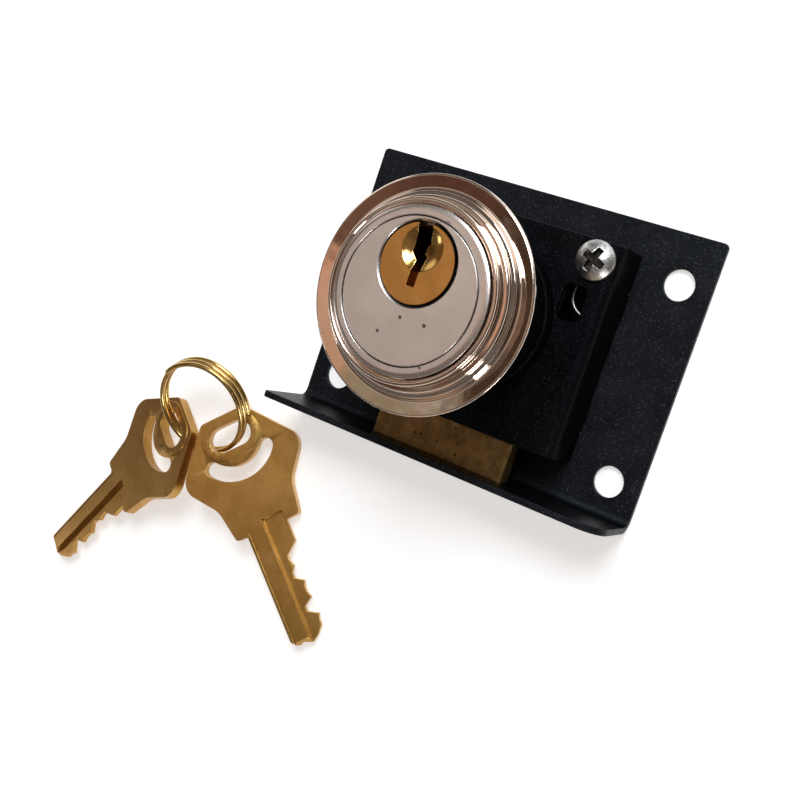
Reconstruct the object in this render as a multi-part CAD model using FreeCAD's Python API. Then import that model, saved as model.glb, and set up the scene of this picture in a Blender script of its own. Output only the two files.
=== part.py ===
"""Half-mortise cabinet lock with a pin-tumbler cylinder, and its two keys on a split ring.

Frame: +Z is the way the cylinder faces, the lock lies on the back of its plate at Z = 0, X runs along
the plate's long side and +Y points away from the flange. The origin is the centre of the four screw
holes on the plate's back. All sizes are in millimetres.
"""
import FreeCAD, Part
import math
import os

V = FreeCAD.Vector

# Clearances
running_gap = 0.05
slide_gap = 0.10
thread_gap = 0.02

# How far a cutting shape runs past the face that it cuts, and how far joined shapes run into each other
past = 1.0
overlap = 0.5

# Back plate and its flange
plate_width = 68.5
plate_sheet = 1.2
plate_above_holes = 8.65
plate_below_holes = 7.25
plate_corner_radius = 0.8
flange_height = 14.0
flange_bend_inner = 1.4
flange_left_radius = 0.9
flange_right_radius = 4.5
mount_spacing_x = 57.0
mount_spacing_y = 35.0
mount_hole_radius = 2.7

# Case cover
case_width = 42.0
case_sheet = 1.1
case_height = 9.4
case_bend_outer = 1.9
case_bottom_y = -16.65
case_top_y = 20.25
tab_width = 5.0
tab_ys = (-9.0, 11.0)
window_width = 4.2
window_length = 6.1
window_corner = 1.0
window_inset = 5.85
window_y = 8.95

# Case screws and the posts that they enter
case_screw_inset = 4.1
case_screw_y = 16.75
case_screw_radius = 1.75
case_screw_length = 6.0
screw_head_radius = 3.4
screw_head_height = 2.1
screw_dome_radius = 4.93
recess_width = 0.95
recess_length = 4.0
recess_depth = 1.3
recess_angle = 35.0
post_radius = 2.6
post_neck_radius = 2.1
post_neck_height = 1.0
post_shoulder_radius = 2.9
post_shoulder_height = 5.6
post_rivet_radius = 2.0
screw_hole_spare = 0.5

# Bolt
bolt_side_gap = 0.8
bolt_thickness = 3.5
bolt_setback = 0.4
bolt_tail_y = 19.0
bolt_throw = 8.5
bolt_edge_bevel = 0.25
bolt_window_corner = 1.5

# Bearer under the bolt
bearer_sheet = 1.0
bearer_inset = 2.2
bearer_bottom_y = -14.5
bearer_top_y = 17.0

# Cylinder, measured from the case upwards
cylinder_y = 2.55
collar_radius = 13.55
collar_floor = 1.6
collar_height = 3.2
tube_radius = 13.0
tube_wall = 1.0
tube_length = 18.8
ring_web = 1.0
head_radius = 13.4
head_height = 5.3
head_bevel_width = 0.85
head_bevel_height = 0.4
scribe_radius = 11.65
scribe_width = 0.22
scribe_depth = 0.16
shell_bore_shoulder = 2.3

# Plug
plug_offset = 4.35
plug_face_radius = 6.5
plug_radius = 6.25
plug_proud = 0.1
dish_offset = 2.35
dish_radius = 3.7
dish_depth = 1.15
keyway_depth = 24.2
keyway_spine = 5.0
keyway_edge = 3.6
keyway_wide_side = 1.75
keyway_narrow_side = 0.65
keyway_far_side = 0.75
keyway_rib_side = 0.25
keyway_rib_ys = (2.9, 1.7)
keyway_step_y = 1.5

# Pin stacks
pin_radius = 1.4
pin_count = 5
first_pin_depth = 6.9
pin_pitch = 3.4
driver_length = 4.2
spring_outer = 1.2
spring_wall = 0.35
chamber_cover_width = 3.6
chamber_cover_thickness = 1.3
chamber_cover_reach = 3.0
pin_point_length = 0.7
pin_point_radius = 0.6
cuts = (2.6, 3.0, 1.8, 3.2, 1.6)

# Cam on the plug's inner end
cam_radius = 6.6
cam_thickness = 2.0
crank_radius = 4.25
crank_pin_radius = 1.6
cam_hole_radius = 7.0
cam_screw_x = 3.9
cam_screw_radius = 0.9
cam_screw_head = 1.6
cam_screw_length = 6.5
cam_screw_sink = 0.8
cam_screw_slot_width = 0.4
cam_screw_slot_depth = 0.4
crank_pin_end_gap = 0.3

# Long screws that hold the cylinder
long_screw_side_inset = 4.75
long_screw_low_inset = 5.55
long_screw_radius = 1.5
long_screw_head = 2.6
long_screw_grip = 8.0
long_screw_slot_width = 0.7
long_screw_slot_depth = 0.6

# Trim ring
trim_radius = 19.0
trim_rim = 0.8
trim_flange_top = 1.45
trim_collar_radius = 15.9
trim_collar_top = 4.9
trim_inner_gap = 0.45
trim_seat_chamfer = 0.8
trim_edge_chamfer = 0.25
trim_dish = 0.25
trim_groove_width = 0.75
trim_step_height = 1.45
trim_step_width = 1.3
trim_lip = 0.15

# Detent spring
spring_wire = 0.4
spring_hook_angle = 45.0
spring_nose_y = 10.7
spring_nose_radius = 3.2
spring_nose_sweep = 65.0
spring_tail = 4.3

# Keys
key_thickness = 2.1
key_thin = 1.15
key_top = 4.6
key_top_half = 4.7
key_bow_x = 5.8
key_bow_half = 13.2
key_neck_x = 12.6
key_neck_half = 8.0
key_shoulder_x = 19.4
key_shoulder_half = 6.8
blade_spine = 4.6
blade_height = 8.4
blade_thin_height = 4.4
blade_length = 23.4
key_hole_length = 8.8
key_hole_width = 5.0
key_boss_rise = 0.25
key_boss_margin = 1.7
smile_inner = 5.9
smile_outer = 8.9
smile_half_angle = 52.0
cut_flat = 1.1
cut_slope = 1.3
cut_crest = 0.45
key_top_corner = 1.5
key_bow_corner = 3.5
key_neck_corner = 5.0
key_shoulder_corner = 0.8
blade_root = 1.0
blade_tip = ((1.6, 0), (0.4, 1.3), (0.8, 2.4), (0, 4.0), (0.9, 5.4))
blade_groove_start = 2.0
boss_inset = 0.2

# Split ring
ring_wire_radius = 0.44
ring_mean_radius = 9.5
ring_pitch = 1.30
ring_turns = 2.38
ring_biarcs_per_turn = 4
ring_start = 259.2
ring_tilt = 26.9
ring_azimuth = 106.6
ring_centre = (-51.57, -32.56, 7.84)

# Where each key crosses the ring (degrees round it), where the wire lies in its hole, which way its
# blade points, and how it leans
key_poses = {
    "key_front": {"crossing": 224.1, "in_hole": (-1.0, -0.8), "heading": -44.9, "pitch": 4.85, "roll": -15.9},
    "key_rear": {"crossing": 125.4, "in_hole": (0.64, -0.42), "heading": -121.0, "pitch": 3.9, "roll": 17.1},
}

# Heights and places that follow from the sizes above
plate_top_y = mount_spacing_y / 2 + plate_above_holes
window_x = case_width / 2 - window_inset
case_screw_x = case_width / 2 - case_screw_inset
bolt_width = 2 * (case_screw_x - post_shoulder_radius - bolt_side_gap)
bearer_width = bolt_width - 2 * bearer_inset
shell_radius = tube_radius - tube_wall - running_gap
flange_y = -mount_spacing_y / 2 - plate_below_holes
flange_z = plate_sheet + flange_height
case_top_z = plate_sheet + case_height
case_inner_z = case_top_z - case_sheet
bolt_top_z = case_inner_z - slide_gap
bolt_bottom_z = bolt_top_z - bolt_thickness
bolt_end_y = flange_y + bolt_setback
bearer_top_z = bolt_bottom_z - running_gap
shell_bottom_z = case_top_z + collar_floor
tube_top_z = shell_bottom_z + tube_length
head_bottom_z = tube_top_z + ring_web
face_z = head_bottom_z + head_height
plug_y = cylinder_y + plug_offset
plug_face_z = face_z + plug_proud
bore_radius = plug_radius + running_gap
pin_zs = [plug_face_z - first_pin_depth - pin_pitch * i for i in range(pin_count)]
long_screw_x = shell_radius - long_screw_side_inset
long_screw_y = cylinder_y - shell_radius + long_screw_low_inset
cam_top_z = shell_bottom_z - running_gap
cam_bottom_z = cam_top_z - cam_thickness
crank_y = plug_y + crank_radius

# The greatest difference, over half a turn, between a crank's travel and a steady one, as a share of the
# crank's radius
lag_angle = math.asin(2 / math.pi)
crank_lag_share = math.cos(lag_angle) + 2 * lag_angle / math.pi - 1
blade_edge = keyway_spine - blade_height
crank_lag = crank_radius * crank_lag_share


def box(x0, x1, y0, y1, z0, z1):
    return Part.makeBox(x1 - x0, y1 - y0, z1 - z0, V(x0, y0, z0))


def rod(radius, x, y, z0, z1):
    return Part.makeCylinder(radius, z1 - z0, V(x, y, z0))


def cone(r0, r1, x, y, z0, z1):
    return Part.makeCone(r0, r1, z1 - z0, V(x, y, z0))


def tube(outer, inner, x, y, z0, z1):
    return rod(outer, x, y, z0, z1).cut(rod(inner, x, y, z0, z1))


def slot_prism(x, y0, y1, radius, z0, z1):
    """Round-ended slot along Y, centred on x, whose end centres are at y0 and y1."""
    body = box(x - radius, x + radius, y0, y1, z0, z1)
    return body.fuse(rod(radius, x, y0, z0, z1)).fuse(rod(radius, x, y1, z0, z1)).removeSplitter()


def rounded_outline(corners):
    """Closed wire in the XY plane through corners (x, y, radius), each turned by an arc of its radius."""
    edges = []
    count = len(corners)
    ends = []
    for i, (x, y, radius) in enumerate(corners):
        here = V(x, y, 0)
        back = V(*corners[i - 1][:2], 0) - here
        ahead = V(*corners[(i + 1) % count][:2], 0) - here
        back.normalize()
        ahead.normalize()
        if radius == 0:
            ends.append((here, None, here))
            continue
        half = back.getAngle(ahead) / 2
        reach = radius / math.tan(half)
        middle = (back + ahead)
        middle.normalize()
        centre = here + middle * (radius / math.sin(half))
        ends.append((here + back * reach, centre - middle * radius, here + ahead * reach))
    for i, (start, mid, end) in enumerate(ends):
        if mid is not None:
            edges.append(Part.Arc(start, mid, end).toShape())
        follow = ends[(i + 1) % count][0]
        if (follow - end).Length > 1e-6:
            edges.append(Part.LineSegment(end, follow).toShape())
    return Part.Wire(edges)


def prism(corners, z0, z1):
    face = Part.Face(rounded_outline(corners))
    face.translate(V(0, 0, z0))
    return face.extrude(V(0, 0, z1 - z0))


def rounded_box(x0, x1, y0, y1, z0, z1, radius):
    return prism([(x0, y0, radius), (x1, y0, radius), (x1, y1, radius), (x0, y1, radius)], z0, z1)


def revolve(points, centre_y):
    """Solid of revolution about the cylinder's axis from (radius, z) points; a 3-tuple end is an arc."""
    edges = []
    here = V(points[0][0], 0, points[0][1])
    for point in points[1:] + points[:1]:
        there = V(point[0], 0, point[1])
        if len(point) == 4:
            edges.append(Part.Arc(here, V(point[2], 0, point[3]), there).toShape())
        else:
            edges.append(Part.LineSegment(here, there).toShape())
        here = there
    solid = Part.Face(Part.Wire(edges)).revolve(V(0, 0, 0), V(0, 0, 1), 360)
    solid.translate(V(0, centre_y, 0))
    return Part.Solid(solid) if solid.ShapeType != "Solid" else solid


def group(solids):
    return Part.makeCompound(list(solids))


def case_screw_places():
    return [(sign * case_screw_x, case_screw_y) for sign in (1, -1)]


def long_screw_places():
    return [(sign * long_screw_x, long_screw_y) for sign in (1, -1)]


def make_back_plate():
    """Sheet bent once: the plate, the bend, and the flange that the bolt passes through."""
    half = plate_width / 2
    bend_outer = flange_bend_inner + plate_sheet
    bend_y = flange_y + bend_outer
    profile = [
        Part.LineSegment(V(0, plate_top_y, 0), V(0, bend_y, 0)).toShape(),
        Part.Arc(V(0, bend_y, 0),
                 V(0, bend_y - bend_outer * math.sin(math.pi / 4), bend_outer * (1 - math.cos(math.pi / 4))),
                 V(0, flange_y, bend_outer)).toShape(),
        Part.LineSegment(V(0, flange_y, bend_outer), V(0, flange_y, flange_z)).toShape(),
        Part.LineSegment(V(0, flange_y, flange_z), V(0, flange_y + plate_sheet, flange_z)).toShape(),
        Part.LineSegment(V(0, flange_y + plate_sheet, flange_z),
                         V(0, flange_y + plate_sheet, bend_outer)).toShape(),
        Part.Arc(V(0, flange_y + plate_sheet, bend_outer),
                 V(0, bend_y - flange_bend_inner * math.sin(math.pi / 4),
                   bend_outer - flange_bend_inner * math.cos(math.pi / 4)),
                 V(0, bend_y, plate_sheet)).toShape(),
        Part.LineSegment(V(0, bend_y, plate_sheet), V(0, plate_top_y, plate_sheet)).toShape(),
        Part.LineSegment(V(0, plate_top_y, plate_sheet), V(0, plate_top_y, 0)).toShape(),
    ]
    sheet = Part.Face(Part.Wire(profile)).extrude(V(plate_width, 0, 0))
    sheet.translate(V(-half, 0, 0))
    corners = [(-half, flange_y - past, 0), (half, flange_y - past, 0),
               (half, plate_top_y, plate_corner_radius), (-half, plate_top_y, plate_corner_radius)]
    sheet = sheet.common(prism(corners, -past, flange_z + past))
    front = [(-half, -past, 0), (half, -past, 0), (half, flange_z, flange_right_radius),
             (-half, flange_z, flange_left_radius)]
    keep = prism(front, 0, plate_top_y - flange_y + 2 * past)
    keep.rotate(V(0, 0, 0), V(1, 0, 0), 90)
    keep.translate(V(0, plate_top_y + past, 0))
    sheet = sheet.common(keep)
    for x in (-mount_spacing_x / 2, mount_spacing_x / 2):
        for y in (-mount_spacing_y / 2, mount_spacing_y / 2):
            sheet = sheet.cut(rod(mount_hole_radius, x, y, -past, plate_sheet + past))
    half_slot = bolt_width / 2 + slide_gap
    sheet = sheet.cut(box(-half_slot, half_slot, flange_y - past, flange_y + plate_sheet + past,
                          bolt_bottom_z - slide_gap, bolt_top_z + slide_gap))
    for x, y in long_screw_places():
        sheet = sheet.cut(rod(long_screw_radius + running_gap, x, y, -past, plate_sheet + past))
        sheet = sheet.cut(cone(long_screw_head + running_gap, long_screw_radius + running_gap,
                               x, y, 0, plate_sheet))
    for x, y in case_screw_places():
        sheet = sheet.cut(rod(post_rivet_radius, x, y, -past, plate_sheet + past))
    inner = case_width / 2 - case_sheet
    for y in tab_ys:
        for x in (-case_width / 2 - running_gap, inner - running_gap):
            sheet = sheet.cut(box(x, x + case_sheet + 2 * running_gap, y - tab_width / 2 - running_gap,
                                  y + tab_width / 2 + running_gap, -past, plate_sheet + past))
    return sheet


def make_case_cover():
    """Channel of bent sheet, open at both ends, with two tabs on each side staked into the plate."""
    half = case_width / 2
    length = case_top_y - case_bottom_y
    outer = [(-half, plate_sheet, 0), (half, plate_sheet, 0), (half, case_top_z, case_bend_outer),
             (-half, case_top_z, case_bend_outer)]
    bend_inner = case_bend_outer - case_sheet
    inner = [(-half + case_sheet, plate_sheet - past, 0), (half - case_sheet, plate_sheet - past, 0),
             (half - case_sheet, case_inner_z, bend_inner), (-half + case_sheet, case_inner_z, bend_inner)]
    cover = prism(outer, 0, length).cut(prism(inner, -past, length + past))
    cover.rotate(V(0, 0, 0), V(1, 0, 0), 90)
    cover.translate(V(0, case_top_y, 0))
    for y in tab_ys:
        for x in (-half, half - case_sheet):
            cover = cover.fuse(box(x, x + case_sheet, y - tab_width / 2, y + tab_width / 2, 0,
                                   plate_sheet + overlap))
    window = rounded_box(window_x - window_width / 2, window_x + window_width / 2,
                         window_y - window_length / 2, window_y + window_length / 2,
                         case_inner_z - past, case_top_z + past, window_corner)
    cover = cover.cut(window)
    cover = cover.cut(rod(cam_hole_radius, 0, plug_y, case_inner_z - past, case_top_z + past))
    for x, y in long_screw_places():
        cover = cover.cut(rod(long_screw_radius + running_gap, x, y, case_inner_z - past,
                              case_top_z + past))
    for x, y in case_screw_places():
        cover = cover.cut(rod(case_screw_radius + running_gap, x, y, case_inner_z - past,
                              case_top_z + past))
    return cover.removeSplitter()


def make_screw_posts():
    """Threaded posts riveted into the plate; a shoulder on each carries the detent spring."""
    posts = []
    shoulder_z = plate_sheet + post_shoulder_height
    for x, y in case_screw_places():
        post = rod(post_radius, x, y, plate_sheet, case_inner_z - post_neck_height)
        post = post.fuse(rod(post_neck_radius, x, y, plate_sheet, case_inner_z))
        post = post.fuse(rod(post_shoulder_radius, x, y, plate_sheet, shoulder_z))
        post = post.fuse(rod(post_rivet_radius - thread_gap, x, y, 0, plate_sheet + overlap))
        post = post.cut(rod(case_screw_radius, x, y, case_top_z - case_screw_length - screw_hole_spare,
                            case_top_z))
        posts.append(post.removeSplitter())
    return group(posts)


def make_case_screws():
    """Cross-recess pan-head screws."""
    screws = []
    for x, y in case_screw_places():
        crown_z = case_top_z + screw_head_height
        head = rod(screw_head_radius, x, y, case_top_z, crown_z)
        head = head.common(Part.makeSphere(screw_dome_radius, V(x, y, crown_z - screw_dome_radius)))
        shank = rod(case_screw_radius - thread_gap, x, y, case_top_z - case_screw_length, case_top_z)
        screw = head.fuse(shank).removeSplitter()
        floor_z = crown_z - recess_depth
        for angle in (0, 90):
            arm = Part.makeBox(recess_length, recess_width, recess_depth + past,
                               V(x - recess_length / 2, y - recess_width / 2, floor_z))
            arm.rotate(V(x, y, 0), V(0, 0, 1), angle + recess_angle)
            screw = screw.cut(arm)
        screws.append(screw)
    return group(screws)


def make_bolt():
    """Flat bolt with a cross window for the crank pin and two slots that run on the long screws."""
    half = bolt_width / 2
    bolt = box(-half, half, bolt_end_y, bolt_tail_y, bolt_bottom_z, bolt_top_z)
    rims = [e for e in bolt.Edges
            if abs(e.BoundBox.YLength - (bolt_tail_y - bolt_end_y)) < 1e-6 and e.BoundBox.ZMin > bolt_bottom_z]
    bolt = bolt.makeChamfer(bolt_edge_bevel, rims)
    half_window = crank_pin_radius + crank_lag + slide_gap
    reach = crank_radius + crank_pin_radius + slide_gap
    bolt = bolt.cut(rounded_box(-reach, reach, crank_y - half_window, crank_y + half_window,
                                bolt_bottom_z - past, bolt_top_z + past, bolt_window_corner))
    radius = long_screw_radius + slide_gap
    for x, y in long_screw_places():
        bolt = bolt.cut(slot_prism(x, y, y + bolt_throw, radius, bolt_bottom_z - past, bolt_top_z + past))
    return bolt


def make_bolt_bearer():
    """Bridge of bent sheet, spot-welded to the plate, that the bolt slides on."""
    half = bearer_width / 2
    length = bearer_top_y - bearer_bottom_y
    outer = [(-half, plate_sheet, 0), (half, plate_sheet, 0), (half, bearer_top_z, bearer_sheet),
             (-half, bearer_top_z, bearer_sheet)]
    inner_half = half - bearer_sheet
    inner = [(-inner_half, plate_sheet - past, 0), (inner_half, plate_sheet - past, 0),
             (inner_half, bearer_top_z - bearer_sheet, 0), (-inner_half, bearer_top_z - bearer_sheet, 0)]
    bearer = prism(outer, 0, length).cut(prism(inner, -past, length + past))
    bearer.rotate(V(0, 0, 0), V(1, 0, 0), 90)
    bearer.translate(V(0, bearer_top_y, 0))
    for x, y in long_screw_places():
        bearer = bearer.cut(rod(long_screw_radius + running_gap, x, y, plate_sheet, bearer_top_z + past))
    return bearer


def make_detent_spring():
    """One bent wire: a hook on the post, a leg along the bolt's edge, and a tail to the case's wall."""
    z = plate_sheet + post_shoulder_height + spring_wire + running_gap
    hook = post_radius + running_gap + spring_wire
    start = math.radians(spring_hook_angle)
    centre = V(case_screw_x, case_screw_y, z)

    def on_hook(angle):
        return centre + V(math.cos(angle), math.sin(angle), 0) * hook

    leg_x = case_screw_x - hook
    nose = V(leg_x + spring_nose_radius, spring_nose_y, z)
    end_angle = math.pi + math.radians(spring_nose_sweep)

    def on_nose(angle):
        return nose + V(math.cos(angle), math.sin(angle), 0) * spring_nose_radius

    tail_way = V(-math.sin(end_angle), math.cos(end_angle), 0)
    edges = [
        Part.Arc(on_hook(start), on_hook((start + math.pi) / 2), on_hook(math.pi)).toShape(),
        Part.LineSegment(on_hook(math.pi), on_nose(math.pi)).toShape(),
        Part.Arc(on_nose(math.pi), on_nose((math.pi + end_angle) / 2), on_nose(end_angle)).toShape(),
        Part.LineSegment(on_nose(end_angle), on_nose(end_angle) + tail_way * spring_tail).toShape(),
    ]
    path = Part.Wire(edges)
    normal = V(-math.sin(start), math.cos(start), 0)
    section = Part.Wire(Part.makeCircle(spring_wire, on_hook(start), normal))
    return path.makePipeShell([section], True, True)


def make_seat_collar():
    """Shallow cup on the case that locates the tube and lets the cam and the long screws through."""
    collar = rod(collar_radius, 0, cylinder_y, case_top_z, case_top_z + collar_height)
    above = case_top_z + collar_height + past
    collar = collar.cut(rod(tube_radius + thread_gap, 0, cylinder_y, shell_bottom_z, above))
    collar = collar.cut(rod(cam_hole_radius, 0, plug_y, case_top_z - past, above))
    for x, y in long_screw_places():
        collar = collar.cut(rod(long_screw_radius + running_gap, x, y, case_top_z - past, above))
    return collar


def make_barrel_tube():
    return tube(tube_radius, tube_radius - tube_wall, 0, cylinder_y, shell_bottom_z, tube_top_z)


def make_cylinder_body():
    """Shell and head in one casting, with the plug's bore, five pin chambers and two threaded holes."""
    inner = head_radius - head_bevel_width
    scribe = scribe_width / 2
    head = revolve([
        (0, head_bottom_z), (head_radius, head_bottom_z), (head_radius, face_z - head_bevel_height),
        (inner, face_z), (scribe_radius + scribe, face_z), (scribe_radius, face_z - scribe_depth),
        (scribe_radius - scribe, face_z), (0, face_z),
    ], cylinder_y)
    body = head.fuse(rod(shell_radius, 0, cylinder_y, shell_bottom_z, head_bottom_z)).removeSplitter()
    shoulder_z = face_z - shell_bore_shoulder
    body = body.cut(rod(bore_radius, 0, plug_y, shell_bottom_z - past, face_z + past))
    body = body.cut(rod(plug_face_radius + running_gap, 0, plug_y, shoulder_z, face_z + past))
    chamber_end = cylinder_y - shell_radius
    for z in pin_zs:
        chamber = Part.makeCylinder(pin_radius + running_gap, plug_y - chamber_end, V(0, chamber_end, z),
                                    V(0, 1, 0))
        body = body.cut(chamber)
    half = chamber_cover_width / 2 + thread_gap
    body = body.cut(box(-half, half, chamber_end - past, chamber_end + chamber_cover_thickness,
                        pin_zs[-1] - chamber_cover_reach, head_bottom_z))
    for x, y in long_screw_places():
        body = body.cut(rod(long_screw_radius, x, y, shell_bottom_z - past,
                            shell_bottom_z + long_screw_grip + screw_hole_spare))
    return body


def make_chamber_cover():
    """Strip pressed into the shell's flat to close the chambers; its outer face is below the tube's bore."""
    half = chamber_cover_width / 2
    bottom = cylinder_y - shell_radius
    bar = box(-half, half, bottom, bottom + chamber_cover_thickness, pin_zs[-1] - chamber_cover_reach,
              head_bottom_z)
    return bar.common(rod(shell_radius, 0, cylinder_y, shell_bottom_z, head_bottom_z))


def keyway_outline():
    """Keyway across the plug's face: wide at the open end, stepped across, narrow at the pins."""
    open_end = plug_face_radius + past
    rib_top, rib_bottom = keyway_rib_ys
    return [(-keyway_wide_side, open_end), (-keyway_wide_side, keyway_step_y),
            (-keyway_narrow_side, keyway_step_y - keyway_wide_side + keyway_narrow_side),
            (-keyway_narrow_side, -keyway_edge), (keyway_far_side, -keyway_edge),
            (keyway_far_side, rib_bottom - keyway_far_side + keyway_rib_side), (keyway_rib_side, rib_bottom),
            (keyway_rib_side, rib_top), (keyway_narrow_side, rib_top + keyway_narrow_side - keyway_rib_side),
            (keyway_narrow_side, open_end)]


def make_plug():
    shoulder_z = face_z - shell_bore_shoulder + running_gap
    plug = rod(plug_radius, 0, plug_y, shell_bottom_z, plug_face_z)
    plug = plug.fuse(rod(plug_face_radius, 0, plug_y, shoulder_z, plug_face_z)).removeSplitter()
    sphere = (dish_radius ** 2 + dish_depth ** 2) / (2 * dish_depth)
    plug = plug.cut(Part.makeSphere(sphere, V(0, plug_y + dish_offset, plug_face_z + sphere - dish_depth)))
    keyway = prism([(x, y, 0) for x, y in keyway_outline()], plug_face_z - keyway_depth,
                   plug_face_z + past)
    keyway.translate(V(0, plug_y, 0))
    plug = plug.cut(keyway)
    for z in pin_zs:
        plug = plug.cut(Part.makeCylinder(pin_radius + running_gap, plug_radius + past,
                                          V(0, plug_y - plug_radius - past, z), V(0, 1, 0)))
    for sign in (1, -1):
        plug = plug.cut(rod(cam_screw_radius, sign * cam_screw_x, plug_y, shell_bottom_z - past,
                            shell_bottom_z + cam_screw_length + screw_hole_spare))
    return plug


def make_key_pins():
    """Pointed pins whose lengths follow the key's cuts, so that they end at the plug's edge."""
    pins = []
    for z, cut in zip(pin_zs, cuts):
        tip = blade_edge + cut
        length = tip + plug_radius - running_gap
        start = plug_y - plug_radius + running_gap
        straight = length - pin_point_length
        pin = Part.makeCylinder(pin_radius, straight, V(0, start, z), V(0, 1, 0))
        point = Part.makeCone(pin_radius, pin_point_radius, pin_point_length, V(0, start + straight, z),
                              V(0, 1, 0))
        pin = pin.fuse(point).removeSplitter()
        pins.append(pin.common(rod(plug_radius, 0, plug_y, shell_bottom_z, plug_face_z)))
    return group(pins)


def make_driver_pins():
    top = plug_y - bore_radius - running_gap
    return group(Part.makeCylinder(pin_radius, driver_length, V(0, top - driver_length, z), V(0, 1, 0))
                 for z in pin_zs)


def make_pin_springs():
    """Each spring as the sleeve that it fills, between its driver and the cover strip."""
    top = plug_y - bore_radius - running_gap - driver_length
    bottom = cylinder_y - shell_radius + chamber_cover_thickness
    springs = []
    for z in pin_zs:
        outer = Part.makeCylinder(spring_outer, top - bottom, V(0, bottom, z), V(0, 1, 0))
        inner = Part.makeCylinder(spring_outer - spring_wall, top - bottom, V(0, bottom, z), V(0, 1, 0))
        springs.append(outer.cut(inner))
    return group(springs)


def make_cam():
    """Disc on the plug's inner end, with the crank pin that moves the bolt."""
    cam = rod(cam_radius, 0, plug_y, cam_bottom_z, shell_bottom_z)
    cam = cam.fuse(rod(crank_pin_radius, 0, crank_y, bolt_bottom_z + crank_pin_end_gap,
                       cam_bottom_z)).removeSplitter()
    for sign in (1, -1):
        cam = cam.cut(rod(cam_screw_radius, sign * cam_screw_x, plug_y, cam_bottom_z, shell_bottom_z))
        cam = cam.cut(cone(cam_screw_head, cam_screw_radius, sign * cam_screw_x, plug_y,
                           cam_bottom_z, cam_bottom_z + cam_screw_sink))
    return cam


def make_cam_screws():
    screws = []
    for sign in (1, -1):
        x = sign * cam_screw_x
        shank = rod(cam_screw_radius - thread_gap, x, plug_y, cam_bottom_z,
                    shell_bottom_z + cam_screw_length)
        head = cone(cam_screw_head - thread_gap, cam_screw_radius - thread_gap, x, plug_y,
                    cam_bottom_z, cam_bottom_z + cam_screw_sink)
        screw = shank.fuse(head).removeSplitter()
        reach = cam_screw_head + past
        half = cam_screw_slot_width / 2
        slot = box(x - reach, x + reach, plug_y - half, plug_y + half, cam_bottom_z - past,
                   cam_bottom_z + cam_screw_slot_depth)
        screws.append(screw.cut(slot))
    return group(screws)


def make_cylinder_screws():
    """Countersunk screws from the plate's back, through the bolt's slots, into the cylinder."""
    screws = []
    for x, y in long_screw_places():
        shank = rod(long_screw_radius - thread_gap, x, y, 0, shell_bottom_z + long_screw_grip)
        head = cone(long_screw_head, long_screw_radius - thread_gap, x, y, 0, plate_sheet)
        screw = shank.fuse(head).removeSplitter()
        reach = long_screw_head + past
        half = long_screw_slot_width / 2
        screws.append(screw.cut(box(x - reach, x + reach, y - half, y + half, -past, long_screw_slot_depth)))
    return group(screws)


def make_trim_ring():
    """Turned ring: a flat mirror flange, then two rounded steps up to the head."""
    inner = head_radius + trim_inner_gap
    web_inner = tube_radius - tube_wall + running_gap
    seat = tube_top_z + trim_flange_top
    top = seat + trim_rim
    step = top + trim_step_height
    crest = tube_top_z + ring_web + trim_collar_top
    wall = trim_collar_radius - trim_groove_width / 2
    ledge = trim_collar_radius - trim_step_width
    edge = trim_edge_chamfer
    groove = top - trim_dish
    return revolve([
        (web_inner, tube_top_z),
        (trim_collar_radius - trim_seat_chamfer, tube_top_z),
        (trim_collar_radius, seat),
        (trim_radius - edge, seat),
        (trim_radius, seat + edge),
        (trim_radius, top - edge / 2),
        (trim_radius - edge, top),
        (trim_collar_radius + trim_groove_width, groove),
        (trim_collar_radius, top + trim_dish, trim_collar_radius + trim_groove_width / 3, top - trim_dish / 2),
        (wall, top + 2 * trim_dish, trim_collar_radius - trim_groove_width / 6, top + 1.9 * trim_dish),
        (wall, top + 2.5 * trim_dish),
        (ledge + trim_lip, step - trim_lip / 3, wall - trim_lip, top + 0.8 * trim_step_height),
        (ledge, step),
        (inner + trim_lip, crest, ledge - trim_lip, crest - 3 * trim_lip),
        (inner, crest - trim_lip),
        (inner, tube_top_z + ring_web),
        (web_inner, tube_top_z + ring_web),
    ], cylinder_y)


def key_blade_outline():
    """Blade from the shoulder to the tip, with the five cuts along its +Y edge."""
    root = key_shoulder_x - blade_root
    tip = key_shoulder_x + blade_length
    low = -blade_spine
    high = low + blade_height
    points = [(root, low)] + [(tip - back, low + rise) for back, rise in blade_tip]
    edge = []
    for i, cut in enumerate(cuts):
        x = key_shoulder_x + first_pin_depth + pin_pitch * i
        edge += [(x - cut_flat / 2, high - cut), (x + cut_flat / 2, high - cut)]
    edge.reverse()
    crests = [edge[0]]
    for here, there in zip(edge, edge[1:]):
        run = here[0] - there[0]
        if run > cut_flat + 0.01:
            peak = min(high, max(here[1], there[1]) + cut_crest)
            crests.append(((here[0] + there[0]) / 2, peak))
        crests.append(there)
    first = crests[-1]
    rise = high - first[1]
    points += crests + [(first[0] - rise / cut_slope, high), (root, high)]
    return points


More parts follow.
